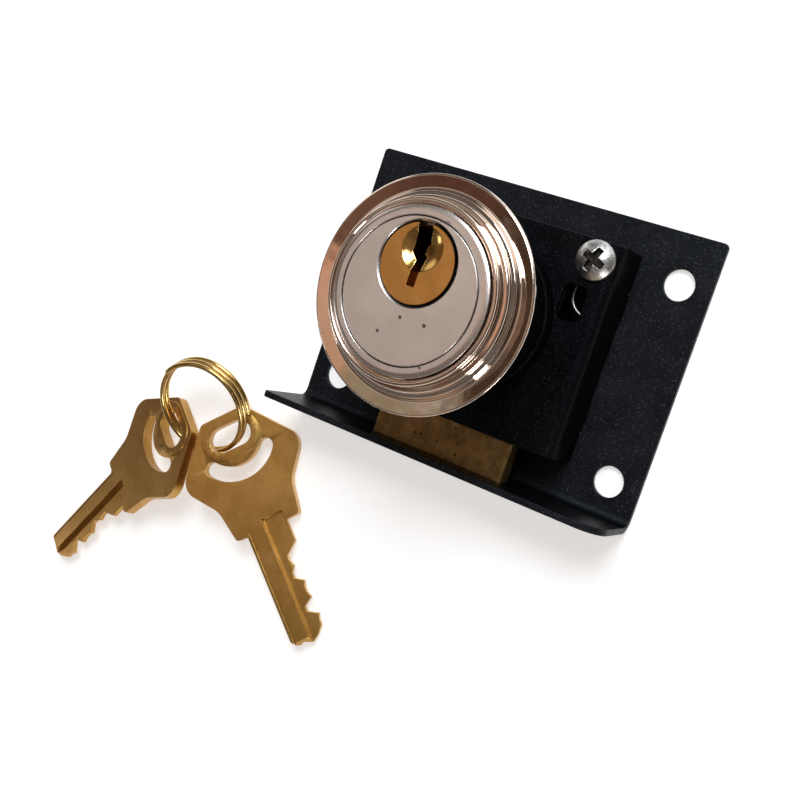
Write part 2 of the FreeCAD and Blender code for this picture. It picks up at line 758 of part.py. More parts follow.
def make_key():
    """Key in its own frame: ring hole at the origin, blade along +X, cuts along +Y, faces at +-Z."""
    half = key_thickness / 2
    bow = [(-key_top, -key_top_half, key_top_corner), (-key_top, key_top_half, key_top_corner),
           (key_bow_x, key_bow_half, key_bow_corner), (key_neck_x, key_neck_half, key_neck_corner),
           (key_shoulder_x, key_shoulder_half, key_shoulder_corner),
           (key_shoulder_x, -key_shoulder_half, key_shoulder_corner),
           (key_neck_x, -key_neck_half, key_neck_corner), (key_bow_x, -key_bow_half, key_bow_corner)]
    key = prism(bow, -half, half)
    blade = prism([(x, y, 0) for x, y in key_blade_outline()], -half, half)
    thin = blade_height - blade_thin_height - blade_spine
    groove_start = key_shoulder_x - blade_groove_start
    tip = key_shoulder_x + blade_length + past
    edge = blade_height - blade_spine
    blade = blade.cut(box(groove_start, tip, thin, edge + past, -half + key_thin, half + past))
    key = key.cut(box(groove_start, tip, thin, edge, -half + key_thin, half + past))
    key = key.fuse(blade).removeSplitter()
    end = (key_hole_length - key_hole_width) / 2
    boss_radius = key_hole_width / 2 + key_boss_margin
    boss = slot_prism(0, -end, end, boss_radius, half - overlap, half + key_boss_rise)
    keep = box(-key_top + boss_inset, key_shoulder_x, -key_bow_half, key_bow_half, 0, key_thickness)
    key = key.fuse(boss.common(keep)).removeSplitter()
    through = key_thickness + past
    key = key.cut(slot_prism(0, -end, end, key_hole_width / 2, -through, through))
    sweep = math.radians(smile_half_angle)
    middle = (smile_inner + smile_outer) / 2
    width = (smile_outer - smile_inner) / 2
    arc = []
    for radius, way in ((smile_outer, 1), (smile_inner, -1)):
        points = [V(radius * math.cos(way * a), radius * math.sin(way * a), -through)
                  for a in (-sweep, 0, sweep)]
        arc.append(Part.Arc(*points).toShape())
    for sign in (1, -1):
        ends = [V(r * math.cos(sweep), sign * r * math.sin(sweep), -through)
                for r in (smile_inner, smile_outer)]
        tip = V(middle * math.cos(sweep) - width * math.sin(sweep),
                sign * (middle * math.sin(sweep) + width * math.cos(sweep)), -through)
        arc.append(Part.Arc(ends[0], tip, ends[1]).toShape())
    smile = Part.Face(Part.Wire(Part.__sortEdges__(arc))).extrude(V(0, 0, 2 * through))
    return key.cut(smile)


def ring_axes():
    """Unit vectors of the ring: the way its far side rises, the level way across it, and its axis."""
    tilt = math.radians(ring_tilt)
    azimuth = math.radians(ring_azimuth)
    rising = V(math.cos(tilt) * math.cos(azimuth), math.cos(tilt) * math.sin(azimuth), math.sin(tilt))
    level = V(-math.sin(azimuth), math.cos(azimuth), 0)
    return rising, level, rising.cross(level)


def ring_point(degrees, lift=0.0):
    rising, level, axis = ring_axes()
    angle = math.radians(degrees)
    across = rising * math.cos(angle) + level * math.sin(angle)
    return V(*ring_centre) + across * ring_mean_radius + axis * lift


def key_placement(pose):
    turn = FreeCAD.Rotation(V(0, 0, 1), pose["heading"])
    turn = turn.multiply(FreeCAD.Rotation(V(0, 1, 0), pose["pitch"]))
    turn = turn.multiply(FreeCAD.Rotation(V(1, 0, 0), pose["roll"]))
    return FreeCAD.Placement(ring_point(pose["crossing"]) + turn.multVec(V(*pose["in_hole"], 0)), turn)


def arc_through(start, corner, end):
    """Arc from start to end whose tangents at both meet at corner, at equal lengths."""
    middle = (start + end) * 0.5
    half_turn = (end - start).Length / (2 * (corner - start).Length)
    return Part.Arc(start, middle + (corner - middle) * (half_turn / (1 + half_turn)), end).toShape()


def biarc(start, start_way, end, end_way):
    """Two arcs that join smoothly and leave start and reach end in the given unit directions."""
    chord = end - start
    ways = start_way + end_way
    shape = 2 * (1 - start_way.dot(end_way))
    along = chord.dot(ways)
    reach = (math.sqrt(along ** 2 + shape * chord.dot(chord)) - along) / shape
    first_corner = start + start_way * reach
    last_corner = end - end_way * reach
    joint = (first_corner + last_corner) * 0.5
    return [arc_through(start, first_corner, joint), arc_through(joint, last_corner, end)]


def make_split_ring():
    """Wire wound as one unbroken tube that climbs steadily along the ring's axis."""
    steps = math.ceil(ring_turns * ring_biarcs_per_turn)
    span = ring_turns * 360.0
    rise = ring_pitch * ring_turns
    rising, level, axis = ring_axes()

    def at(share):
        return ring_point(ring_start + span * share, rise * (share - 0.5))

    def way(share):
        angle = math.radians(ring_start + span * share)
        round_way = level * math.cos(angle) - rising * math.sin(angle)
        slope = round_way * (2 * math.pi * ring_mean_radius) + axis * ring_pitch
        slope.normalize()
        return slope

    edges = []
    for i in range(steps):
        here, there = i / steps, (i + 1) / steps
        edges += biarc(at(here), way(here), at(there), way(there))
    path = Part.Wire(edges)
    section = Part.Wire(Part.makeCircle(ring_wire_radius, at(0), way(0)))
    count = 600
    samples = [at(i / count) for i in range(count + 1)]
    apart = int(count / ring_turns / 2)
    least = min((here - there).Length for i, here in enumerate(samples) for there in samples[i + apart:])
    print("split ring: least gap to itself %.3f mm" % (least - 2 * ring_wire_radius))
    return path.makePipeShell([section], True, False)


def save(name, shape):
    os.makedirs("parts", exist_ok=True)
    print("%-16s solids %d volume %.1f valid %s" % (name, len(shape.Solids), shape.Volume, shape.isValid()))
    shape.exportStep("parts/%s.step" % name)


def main():
    save("back_plate", make_back_plate())
    save("case_cover", make_case_cover())
    save("screw_posts", make_screw_posts())
    save("case_screws", make_case_screws())
    save("bolt", make_bolt())
    save("bolt_bearer", make_bolt_bearer())
    save("detent_spring", make_detent_spring())
    save("seat_collar", make_seat_collar())
    save("barrel_tube", make_barrel_tube())
    save("cylinder_body", make_cylinder_body())
    save("chamber_cover", make_chamber_cover())
    save("plug", make_plug())
    save("key_pins", make_key_pins())
    save("driver_pins", make_driver_pins())
    save("pin_springs", make_pin_springs())
    save("cam", make_cam())
    save("cam_screws", make_cam_screws())
    save("cylinder_screws", make_cylinder_screws())
    save("trim_ring", make_trim_ring())
    save("split_ring", make_split_ring())
    for name, pose in key_poses.items():
        key = make_key()
        key.Placement = key_placement(pose)
        save(name, key)


main()
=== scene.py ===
# %% [markdown]
# # A cabinet lock and its two keys
# This lesson dresses a small drawer lock. Its steel plate and case are painted black, a plated cylinder
# stands on them inside a bright stepped ring, and two brass keys lie beside it on a split ring. The shapes
# that work, such as holes, slots and axles, are already there: they come in as a fixed frame, one mesh for
# each real piece. Here each piece gets what the eye looks for, which is rounded edges, turned and stamped
# detail, and a finish that tells painted steel, plating and brass apart.

import math
import bmesh
import bpy
from mathutils import Euler, Matrix, Vector


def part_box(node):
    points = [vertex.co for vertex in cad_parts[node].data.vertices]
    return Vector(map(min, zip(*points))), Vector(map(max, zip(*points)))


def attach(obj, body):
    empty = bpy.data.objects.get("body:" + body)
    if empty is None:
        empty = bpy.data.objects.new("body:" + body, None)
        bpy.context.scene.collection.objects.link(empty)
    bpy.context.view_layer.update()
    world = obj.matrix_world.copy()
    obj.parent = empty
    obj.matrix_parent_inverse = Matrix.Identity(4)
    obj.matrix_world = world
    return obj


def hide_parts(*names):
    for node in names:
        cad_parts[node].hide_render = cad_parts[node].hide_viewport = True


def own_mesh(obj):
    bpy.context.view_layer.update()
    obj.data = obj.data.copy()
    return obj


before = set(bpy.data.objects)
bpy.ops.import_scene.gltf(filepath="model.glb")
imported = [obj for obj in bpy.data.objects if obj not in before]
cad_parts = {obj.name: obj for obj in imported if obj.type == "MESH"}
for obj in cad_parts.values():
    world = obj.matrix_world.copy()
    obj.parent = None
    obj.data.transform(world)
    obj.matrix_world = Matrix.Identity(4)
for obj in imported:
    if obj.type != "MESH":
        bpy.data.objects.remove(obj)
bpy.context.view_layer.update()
MM = 0.001

# %% [markdown]
# ## The camera
# The photograph was taken from above and to the right of the lock. The four screw holes, the plate's edges
# and the circles of the cylinder fix where the camera stood, so it is set by its place, its three turns and
# its lens, and not by eye.

# %% Camera
camera_place = Vector((87.54, 5.49, 196.18)) * MM
camera_turn = (3.88, 27.89, 21.11)
camera_lens = 53.54

camera_data = bpy.data.cameras.new("camera")
camera_data.lens = camera_lens
camera_data.sensor_width = 36.0
camera_data.clip_start = 0.005
camera = bpy.data.objects.new("camera", camera_data)
camera.location = camera_place
camera.rotation_euler = Euler([math.radians(a) for a in camera_turn], "XYZ")
bpy.context.scene.collection.objects.link(camera)
bpy.context.scene.camera = camera
bpy.context.scene.view_settings.view_transform = "Standard"
print("camera stands %.0f mm from the plate's middle" % (camera_place.length / MM))

# %% [markdown]
# ## Small helpers for shader nodes
# Every finish below is a network of nodes, and written out in full such networks are long. Short helpers
# keep them readable: each adds one kind of node, links or sets its inputs, and gives back its output.

# %% Adding nodes
def connect(tree, socket, value):
    """Links another node's output to the socket, or sets the socket to a plain value."""
    if isinstance(value, bpy.types.NodeSocket):
        tree.links.new(value, socket)
    else:
        socket.default_value = value


def add(tree, kind, inputs=None, **settings):
    """Adds a node. A value for an input may be a number, a colour or another node's output."""
    node = tree.nodes.new(kind)
    for key, value in settings.items():
        setattr(node, key, value)
    for key, value in (inputs or {}).items():
        connect(tree, node.inputs[key], value)
    return node


# %% Numbers
def math_node(tree, operation, first, second=0.0):
    return add(tree, "ShaderNodeMath", {0: first, 1: second}, operation=operation).outputs[0]


def times(tree, first, second):
    return math_node(tree, "MULTIPLY", first, second)


def plus(tree, first, second):
    return math_node(tree, "ADD", first, second)


def minus(tree, first, second):
    return math_node(tree, "SUBTRACT", first, second)


def one_over(tree, value):
    return math_node(tree, "DIVIDE", 1.0, value)


def remap(tree, value, low, high, out_low=0.0, out_high=1.0):
    """Eases from out_low to out_high as the value goes from low to high."""
    inputs = {"Value": value, "From Min": low, "From Max": high, "To Min": out_low, "To Max": out_high}
    return add(tree, "ShaderNodeMapRange", inputs, interpolation_type="SMOOTHSTEP").outputs["Result"]


# %% Vectors and colours
def vector_node(tree, operation, first, second=(0, 0, 0)):
    node = add(tree, "ShaderNodeVectorMath", {0: first, 1: second}, operation=operation)
    return node.outputs["Value" if operation in ("LENGTH", "DOT_PRODUCT") else "Vector"]


def combine(tree, x, y, z=0.0):
    return add(tree, "ShaderNodeCombineXYZ", {0: x, 1: y, 2: z}).outputs[0]


def separate(tree, vector):
    return add(tree, "ShaderNodeSeparateXYZ", {0: vector}).outputs


def level_distance(tree, place, centre):
    """How far the place is from an upright axis through the centre."""
    across = vector_node(tree, "MULTIPLY", vector_node(tree, "SUBTRACT", place, centre), (1, 1, 0))
    return vector_node(tree, "LENGTH", across)


def mix_colour(tree, mask, first, second):
    """The first colour where the mask is 0, and the second where it is 1."""
    node = add(tree, "ShaderNodeMix", {0: mask, 6: first, 7: second}, data_type="RGBA", clamp_factor=True)
    return node.outputs[2]


# %% Textures
def noise(tree, place, scale, detail, **more):
    inputs = {"Vector": place, "Scale": scale, "Detail": detail, **more}
    return add(tree, "ShaderNodeTexNoise", inputs).outputs["Fac"]


def cells(tree, place, scale):
    """The distance to the nearest of many scattered points, and a colour that picks some of them out."""
    return add(tree, "ShaderNodeTexVoronoi", {"Vector": place, "Scale": scale, "Randomness": 1.0}).outputs


# %% [markdown]
# A group holds an effect that several finishes share, and each finish places it with its own values. Two
# more helpers start such a group with named sockets, and place it in a material.

# %% Groups
def new_group(name, inputs, *outputs, out_kind="Float"):
    """Starts a group. Inputs are {name: default}: a tuple makes a vector socket, a number a float one."""
    group = bpy.data.node_groups.new(name, "ShaderNodeTree")
    for label, default in inputs.items():
        kind = "Vector" if isinstance(default, tuple) else "Float"
        socket = group.interface.new_socket(label, in_out="INPUT", socket_type="NodeSocket" + kind)
        socket.default_value = default
    for label in outputs:
        group.interface.new_socket(label, in_out="OUTPUT", socket_type="NodeSocket" + out_kind)
    print("shared effect %s puts out %s" % (name, " and ".join(outputs)))
    return group, group.nodes.new("NodeGroupInput").outputs, group.nodes.new("NodeGroupOutput").inputs


def use_group(tree, group, **inputs):
    node = add(tree, "ShaderNodeGroup", node_tree=group)
    for key, value in inputs.items():
        connect(tree, node.inputs[key.capitalize()], value)
    return node.outputs


# %% [markdown]
# ## The stage
# A product shot of a small shiny thing needs two kinds of light. The black paint and the brass want broad
# soft lamps. The plated ring is a mirror, so it shows whatever is round it, and a plain grey room would
# make it look like grey plastic. The world is therefore a dim room with soft patches of colour, and the
# last of them that covers a direction wins. Some are named for where they stand. Others are named for where
# they are seen: brown in the ring's top and right, copper in its left, champagne in its bottom, and pale on
# the head. The camera itself sees white.

# %% World
def sky_patch(tree, direction, toward, inner, outer):
    """1 within inner degrees of a direction, falling to 0 at outer degrees."""
    aim = Vector(toward).normalized()
    cosine = vector_node(tree, "DOT_PRODUCT", direction, tuple(aim))
    return remap(tree, cosine, math.cos(math.radians(outer)), math.cos(math.radians(inner)))


room_colour = (0.13, 0.115, 0.105, 1)
sky_patches = {
    "pale ceiling": ((-0.46, 0.0, 0.887), 14, 28, (0.54, 0.455, 0.405, 1)),
    "dim ceiling at the right": ((0.46, 0.0, 0.88), 8, 22, (0.24, 0.195, 0.15, 1)),
    "dark wall at the right": ((0.92, 0.05, 0.35), 14, 34, (0.050, 0.030, 0.020, 1)),
    "low wall at the left": ((-1.0, 0.0, 0.05), 12, 30, (0.16, 0.11, 0.08, 1)),
    "warm wall in front": ((0.0, -0.95, 0.30), 12, 30, (0.34, 0.26, 0.18, 1)),
    "copper in the ring's left": ((-0.18, -0.01, 0.984), 6, 12, (0.66, 0.38, 0.26, 1)),
    "copper in its lower left": ((-0.27, 0.18, 0.946), 5, 11, (0.56, 0.36, 0.25, 1)),
    "dark copper in its upper left": ((-0.26, -0.20, 0.945), 6, 12, (0.15, 0.080, 0.052, 1)),
    "brown in its top": ((-0.50, -0.27, 0.823), 8, 14, (0.10, 0.048, 0.032, 1)),
    "brown in its right": ((-0.70, 0.0, 0.71), 10, 16, (0.066, 0.040, 0.025, 1)),
    "champagne in its bottom": ((-0.48, 0.24, 0.844), 6, 12, (0.30, 0.25, 0.175, 1)),
    "pale on the head": ((-0.49, -0.01, 0.872), 5, 10, (0.70, 0.61, 0.55, 1)),
    "window far left": ((-0.88, 0.42, 0.22), 8, 16, (1.0, 0.97, 0.93, 1)),
    "small skylight": ((0.10, 0.56, 0.82), 7, 13, (1.3, 1.3, 1.3, 1)),
    "white wall behind": ((0.25, 0.88, 0.40), 20, 30, (1.25, 1.25, 1.25, 1)),
    "small window in front": ((0.62, -0.66, 0.42), 4, 9, (0.9, 0.86, 0.8, 1)),
}

world = bpy.data.worlds.new("studio")
bpy.context.scene.world = world
world.use_nodes = True
sky = world.node_tree
sky.nodes.clear()
sky_way = add(sky, "ShaderNodeTexCoord").outputs["Generated"]
sky_colour = room_colour
for toward, inner, outer, colour in sky_patches.values():
    sky_colour = mix_colour(sky, sky_patch(sky, sky_way, toward, inner, outer), sky_colour, colour)
seen = add(sky, "ShaderNodeLightPath").outputs["Is Camera Ray"]
room = add(sky, "ShaderNodeBackground", {"Color": sky_colour, "Strength": 1.0}).outputs[0]
white = add(sky, "ShaderNodeBackground", {"Color": (1, 1, 1, 1), "Strength": 1.0}).outputs[0]
sky_out = add(sky, "ShaderNodeMixShader", {0: seen, 1: room, 2: white}).outputs[0]
add(sky, "ShaderNodeOutputWorld", {"Surface": sky_out})
print("room with %d soft patches" % len(sky_patches))

# %% [markdown]
# The floor is one large pale sheet. It keeps the soft shadow that seats the lock, and it glows a little for
# the camera and for reflections alone, so that it reads as white without throwing light on the metal.

# %% Floor
floor_half = 1.5
floor_grey = (0.80, 0.80, 0.80, 1)
floor_glow = 0.52


def make_floor():
    corners = [(-floor_half, -floor_half, 0), (floor_half, -floor_half, 0), (floor_half, floor_half, 0),
               (-floor_half, floor_half, 0)]
    mesh = bpy.data.meshes.new("floor")
    mesh.from_pydata(corners, [], [(0, 1, 2, 3)])
    floor = bpy.data.objects.new("floor", mesh)
    bpy.context.scene.collection.objects.link(floor)
    material = bpy.data.materials.new("floor_white")
    material.use_nodes = True
    tree = material.node_tree
    tree.nodes.clear()
    path = add(tree, "ShaderNodeLightPath").outputs
    seen = math_node(tree, "MAXIMUM", path["Is Camera Ray"], path["Is Glossy Ray"])
    seen = math_node(tree, "MAXIMUM", seen, path["Is Transmission Ray"])
    matt = add(tree, "ShaderNodeBsdfDiffuse", {"Color": floor_grey}).outputs[0]
    strength = times(tree, seen, floor_glow)
    glow = add(tree, "ShaderNodeEmission", {"Color": (1, 1, 1, 1), "Strength": strength}).outputs[0]
    both = add(tree, "ShaderNodeAddShader", {0: matt, 1: glow}).outputs[0]
    add(tree, "ShaderNodeOutputMaterial", {"Surface": both})
    mesh.materials.append(material)


make_floor()
print("floor is %.1f m square" % (2 * floor_half))

# %% [markdown]
# One broad lamp stands above and behind the lock. It lights the plate, and its image is the bright
# highlight at the ring's upper right. Two small ones, low at the left and in front, add the short glints.

# %% Lamps
lock_middle = (0.0, 0.0, 0.02)


def add_lamp(name, place, size, power, colour=(1, 1, 1)):
    data = bpy.data.lights.new(name, "AREA")
    data.shape = "RECTANGLE"
    data.size, data.size_y = size
    data.energy = power
    data.color = colour
    lamp = bpy.data.objects.new(name, data)
    lamp.location = place
    way = Vector(lock_middle) - Vector(place)
    lamp.rotation_euler = way.to_track_quat("-Z", "Y").to_euler()
    bpy.context.scene.collection.objects.link(lamp)
    print("%s: %.2f W, %.2f m away" % (name, power, way.length))


add_lamp("window_left", (-0.66, -0.26, 0.22), (0.14, 0.12), 0.16)
add_lamp("lamp_top", (0.10, 0.38, 0.60), (0.36, 0.26), 2.8, (0.92, 0.96, 1.0))
add_lamp("lamp_front", (0.40, -0.42, 0.34), (0.16, 0.16), 0.8, (1.0, 0.97, 0.93))

# %% [markdown]
# ## Shared surface effects
# Real finishes are never one even colour. The groups below hold the effects that come back again and again.
# Each puts out a mask, a height or a place, and the finishes decide what to do with it. The first one turns
# a point of the surface into millimetres, so that blotches, grain and pits have the sizes that a ruler
# would give.

# %% Places in millimetres
def build_place_group():
    group, _, out = new_group("place_in_mm", {}, "Place", out_kind="Vector")
    spot = add(group, "ShaderNodeTexCoord").outputs["Object"]
    scaled = add(group, "ShaderNodeVectorMath", {0: spot, "Scale": 1 / MM}, operation="SCALE").outputs[0]
    group.links.new(scaled, out["Place"])
    return group


place_group = build_place_group()

# %% [markdown]
# Blotches are the slow changes in tone that plating baths, ovens and fingers leave. Grain is the fine
# unevenness of the coat itself, with some rare specks. Soft noise makes both, at two scales, and scattered
# cells make the specks, because specks are separate dots and noise alone would run them together.

# %% Blotches and grain
def build_blotch_group():
    group, inp, out = new_group("blotches", {"Place": (0, 0, 0), "Size": 5.0, "Contrast": 0.5}, "Mask")
    cloud = noise(group, inp["Place"], one_over(group, inp["Size"]), 4.0, Roughness=0.55)
    softness = plus(group, 1.0, times(group, inp["Contrast"], -0.5))
    low = plus(group, 0.5, times(group, softness, -0.35))
    group.links.new(remap(group, cloud, low, minus(group, 1.0, low)), out["Mask"])
    return group


def build_grain_group():
    group, inp, out = new_group("fine_grain", {"Place": (0, 0, 0), "Size": 0.3}, "Value", "Specks")
    scale = one_over(group, inp["Size"])
    dots = cells(group, inp["Place"], scale)
    near = remap(group, dots["Distance"], 0.12, 0.36, 1.0, 0.0)
    pick = add(group, "ShaderNodeSeparateColor", {0: dots["Color"]}).outputs[0]
    group.links.new(noise(group, inp["Place"], scale, 3.0, Roughness=0.6), out["Value"])
    group.links.new(times(group, near, remap(group, pick, 0.40, 0.95)), out["Specks"])
    return group


blotch_group = build_blotch_group()
grain_group = build_grain_group()

# %% [markdown]
# Handling rubs the edges bright, and shade falls in the corners, where the finishes paint it in as a dark
# colour.
# An edge is found where a softened normal leaves the true one and the surface is convex, and noise breaks
# its line up, because wear is never even. A corner is found by how little of the sky it sees.

# %% Edges and corners
def build_edge_group():
    """1 on convex edges, broken up by noise, and 0 on flats."""
    sockets = {"Place": (0, 0, 0), "Width": 0.0003, "Breaks": 0.5, "Size": 1.5}
    group, inp, out = new_group("worn_edges", sockets, "Mask")
    softened = add(group, "ShaderNodeBevel", {"Radius": inp["Width"]}, samples=6).outputs[0]
    surface = add(group, "ShaderNodeNewGeometry").outputs
    agree = vector_node(group, "DOT_PRODUCT", softened, surface["Normal"])
    edge = times(group, remap(group, agree, 0.995, 0.86), remap(group, surface["Pointiness"], 0.495, 0.51))
    patchy = noise(group, inp["Place"], one_over(group, inp["Size"]), 4.0)
    cut = plus(group, 0.30, times(group, inp["Breaks"], 0.25))
    group.links.new(times(group, edge, remap(group, patchy, cut, plus(group, cut, 0.12))), out["Mask"])
    return group


def build_corner_group():
    """1 deep in slots, grooves and corners, and 0 on open faces."""
    group, inp, out = new_group("corner_shade_mask", {"Reach": 0.001}, "Mask")
    open_sky = add(group, "ShaderNodeAmbientOcclusion", {"Distance": inp["Reach"]}, samples=6,
                   only_local=True).outputs["AO"]
    group.links.new(remap(group, open_sky, 0.70, 0.25), out["Mask"])
    return group


edge_group = build_edge_group()
corner_group = build_corner_group()

# %% [markdown]
# A lathe leaves fine rings about its axis, and a belt leaves fine streaks along one heading. Both are noise
# that is looked up in bent coordinates: by radius for the rings, and squeezed across the heading for the
# streaks. The rings come with a slow wobble, for the polished ring whose turning no longer shows.

# %% Turning and brushing
def build_lathe_group():
    """Fine rings about an upright axis through Centre, as a height, and a slow wobble over the surface."""
    sockets = {"Place": (0, 0, 0), "Centre": (0, 0, 0), "Pitch": 0.12}
    group, inp, out = new_group("lathe_rings", sockets, "Height", "Wobble")
    x, y, z = separate(group, vector_node(group, "SUBTRACT", inp["Place"], inp["Centre"]))
    radius = math_node(group, "POWER", plus(group, times(group, x, x), times(group, y, y)), 0.5)
    turn = math_node(group, "ARCTAN2", y, x)
    across = times(group, plus(group, radius, z), one_over(group, inp["Pitch"]))
    spot = combine(group, across, math_node(group, "COSINE", turn), math_node(group, "SINE", turn))
    group.links.new(noise(group, spot, 1.0, 2.0), out["Height"])
    group.links.new(noise(group, inp["Place"], 0.12, 2.0), out["Wobble"])
    return group


def build_brush_group():
    """Fine streaks along a heading, in radians, in the level plane."""
    sockets = {"Place": (0, 0, 0), "Heading": 0.0, "Length": 6.0, "Width": 0.14}
    group, inp, out = new_group("brushed", sockets, "Value")
    back = times(group, inp["Heading"], -1.0)
    along = add(group, "ShaderNodeVectorRotate", {"Vector": inp["Place"], "Angle": back},
                rotation_type="Z_AXIS").outputs[0]
    fine = one_over(group, inp["Width"])
    stretch = combine(group, one_over(group, inp["Length"]), fine, fine)
    group.links.new(noise(group, vector_node(group, "MULTIPLY", along, stretch), 1.0, 3.0), out["Value"])
    return group


lathe_group = build_lathe_group()
brush_group = build_brush_group()

# %% [markdown]
# Cast and old brass has small black pits. Cells give one possible pit each. A share of them is chosen by
# colour, and the same colour sets how wide each pit is, so that no two are alike.

# %% Pits
def build_pit_group():
    group, inp, out = new_group("pits", {"Place": (0, 0, 0), "Size": 0.8, "Share": 0.3}, "Mask")
    dots = cells(group, inp["Place"], one_over(group, inp["Size"]))
    pick = add(group, "ShaderNodeSeparateColor", {0: dots["Color"]}).outputs
    chosen = math_node(group, "LESS_THAN", pick[0], inp["Share"])
    reach = plus(group, 0.08, times(group, pick[1], 0.22))
    dent = remap(group, dots["Distance"], reach, times(group, reach, 0.4))
    group.links.new(times(group, dent, chosen), out["Mask"])
    return group


pit_group = build_pit_group()

# %% [markdown]
# ## The finishes
# Each finish is one material with its own Principled shader. Black parts are a thin film of paint over
# steel, so they are not metallic. Plating and brass are metallic, and they differ in tint, in how rough
# they are and in what handling has done to them. Three helpers serve them all.

# %% Material helpers
def start_material(name):
    material = bpy.data.materials.new(name)
    material.use_nodes = True
    tree = material.node_tree
    tree.nodes.clear()
    shader = add(tree, "ShaderNodeBsdfPrincipled")
    add(tree, "ShaderNodeOutputMaterial", {"Surface": shader.outputs[0]})
    place = use_group(tree, place_group)["Place"]
    return material, tree, shader.inputs, place


def feed(tree, shader, values):
    """Links or sets the shader's sockets by name."""
    for name, value in values.items():
        connect(tree, shader[name], value)


def bumped(tree, height, depth_mm, strength=1.0, below=None):
    """Normal from a height in 0 to 1 that stands for depth_mm."""
    node = add(tree, "ShaderNodeBump", {"Strength": strength, "Distance": depth_mm * MM, "Height": height})
    if below is not None:
        tree.links.new(below, node.inputs["Normal"])
    return node.outputs[0]


def corner_shade_and_dirt(tree, colour, reach_mm, amount, corner_shade=(0.012, 0.010, 0.008, 1)):
    """Paints shade into the colour in slots and grooves, where little sky reaches, and gives the mask too.
    """
    mask = use_group(tree, corner_group, reach=reach_mm * MM)["Mask"]
    return mix_colour(tree, times(tree, mask, amount), colour, corner_shade), mask


# %% [markdown]
# The plate and the case have a black stoved coat with a slight orange peel. Dust lies only on what faces
# up, so the powder and the pale specks are held back on the sides by the normal's Z. The same mask paints
# shade on the sides, where the tone falls to a near black. The highlight has a cold tint, as black paint has
# under daylight. The steel shows in a few nicks on the edges.

# %% Black paint
in_shade = (0.0012, 0.0012, 0.0015, 1)
corner_shade_black = (0.0012, 0.0012, 0.0014, 1)
pale_speck = (0.15, 0.16, 0.19, 1)
bare_steel = (0.12, 0.115, 0.11, 1)
cold_gloss = (0.66, 0.86, 1.0, 1)


def make_black_paint(name, tone, rough, speck_strength, gloss):
    material, tree, shader, place = start_material(name)
    grain = use_group(tree, grain_group, place=place, size=0.42)
    fine = use_group(tree, grain_group, place=place, size=0.24)
    blotch = use_group(tree, blotch_group, place=place, size=7.0, contrast=0.9)["Mask"]
    wear = use_group(tree, edge_group, place=place, width=0.00035, breaks=0.9, size=1.1)["Mask"]
    facing_up = separate(tree, add(tree, "ShaderNodeNewGeometry").outputs["Normal"])[2]
    dust_and_top_light = remap(tree, facing_up, 0.4, 0.95)
    colour = mix_colour(tree, blotch, tone + (1,), tuple(c * 2.0 + 0.002 for c in tone) + (1,))
    # Painted shade: faces that turn away from the sky lose their tone and fall to a near black.
    colour = mix_colour(tree, dust_and_top_light, in_shade, colour)
    powder = times(tree, remap(tree, fine["Value"], 0.50, 0.72, 0.0, 0.6), dust_and_top_light)
    colour = mix_colour(tree, powder, colour, tuple(c * 4 for c in tone) + (1,))
    specks = math_node(tree, "MAXIMUM", grain["Specks"], times(tree, fine["Specks"], 0.7))
    specks = times(tree, times(tree, specks, speck_strength), dust_and_top_light)
    colour = mix_colour(tree, specks, colour, pale_speck)
    colour = mix_colour(tree, times(tree, wear, 0.35), colour, bare_steel)
    # Painted shade: slots and corners fall to a near black, and the paint there is rougher.
    colour, mask = corner_shade_and_dirt(tree, colour, 0.9, 0.9, corner_shade_black)
    uneven = remap(tree, grain["Value"], 0.3, 0.7, rough - 0.07, rough + 0.09)
    orange_peel = bumped(tree, grain["Value"], 0.06, 0.5)
    feed(tree, shader, {"Base Color": colour,
                        "Roughness": plus(tree, uneven, times(tree, mask, 0.45)),
                        "Specular IOR Level": gloss,
                        "Specular Tint": cold_gloss,
                        "Normal": bumped(tree, fine["Value"], 0.03, 0.6, below=orange_peel)})
    return material


# %% [markdown]
# Zinc plating is patchy, with dark specks where it has begun to dull, and shade is painted into its slots
# and corners. The case screws have a finish of their own, with shade painted near black into their cross
# recess. The dome is a ball, so how deep a point lies below it tells the recess from the dome, whichever way
# the cross is turned. Spring steel is bare drawn wire, darker and smoother than the plating, so one soft
# grain is enough for it.

# %% Zinc plate and spring steel
def recess_shade_mask(tree, place, x, y, crown, dome, reach):
    """1 below the dome of a pan-head screw at (x, y) or at (-x, y), where the cross is sunk and shade is
    painted.
    """
    here = separate(tree, place)
    beside = minus(tree, math_node(tree, "ABSOLUTE", here[0]), x)
    radius = vector_node(tree, "LENGTH", combine(tree, beside, minus(tree, here[1], y)))
    inside = remap(tree, radius, reach + 0.1, reach - 0.1)
    sagitta = times(tree, times(tree, radius, radius), 0.5 / dome)
    depth = minus(tree, minus(tree, crown, sagitta), here[2])
    return times(tree, remap(tree, depth, 0.10, 0.30), inside)


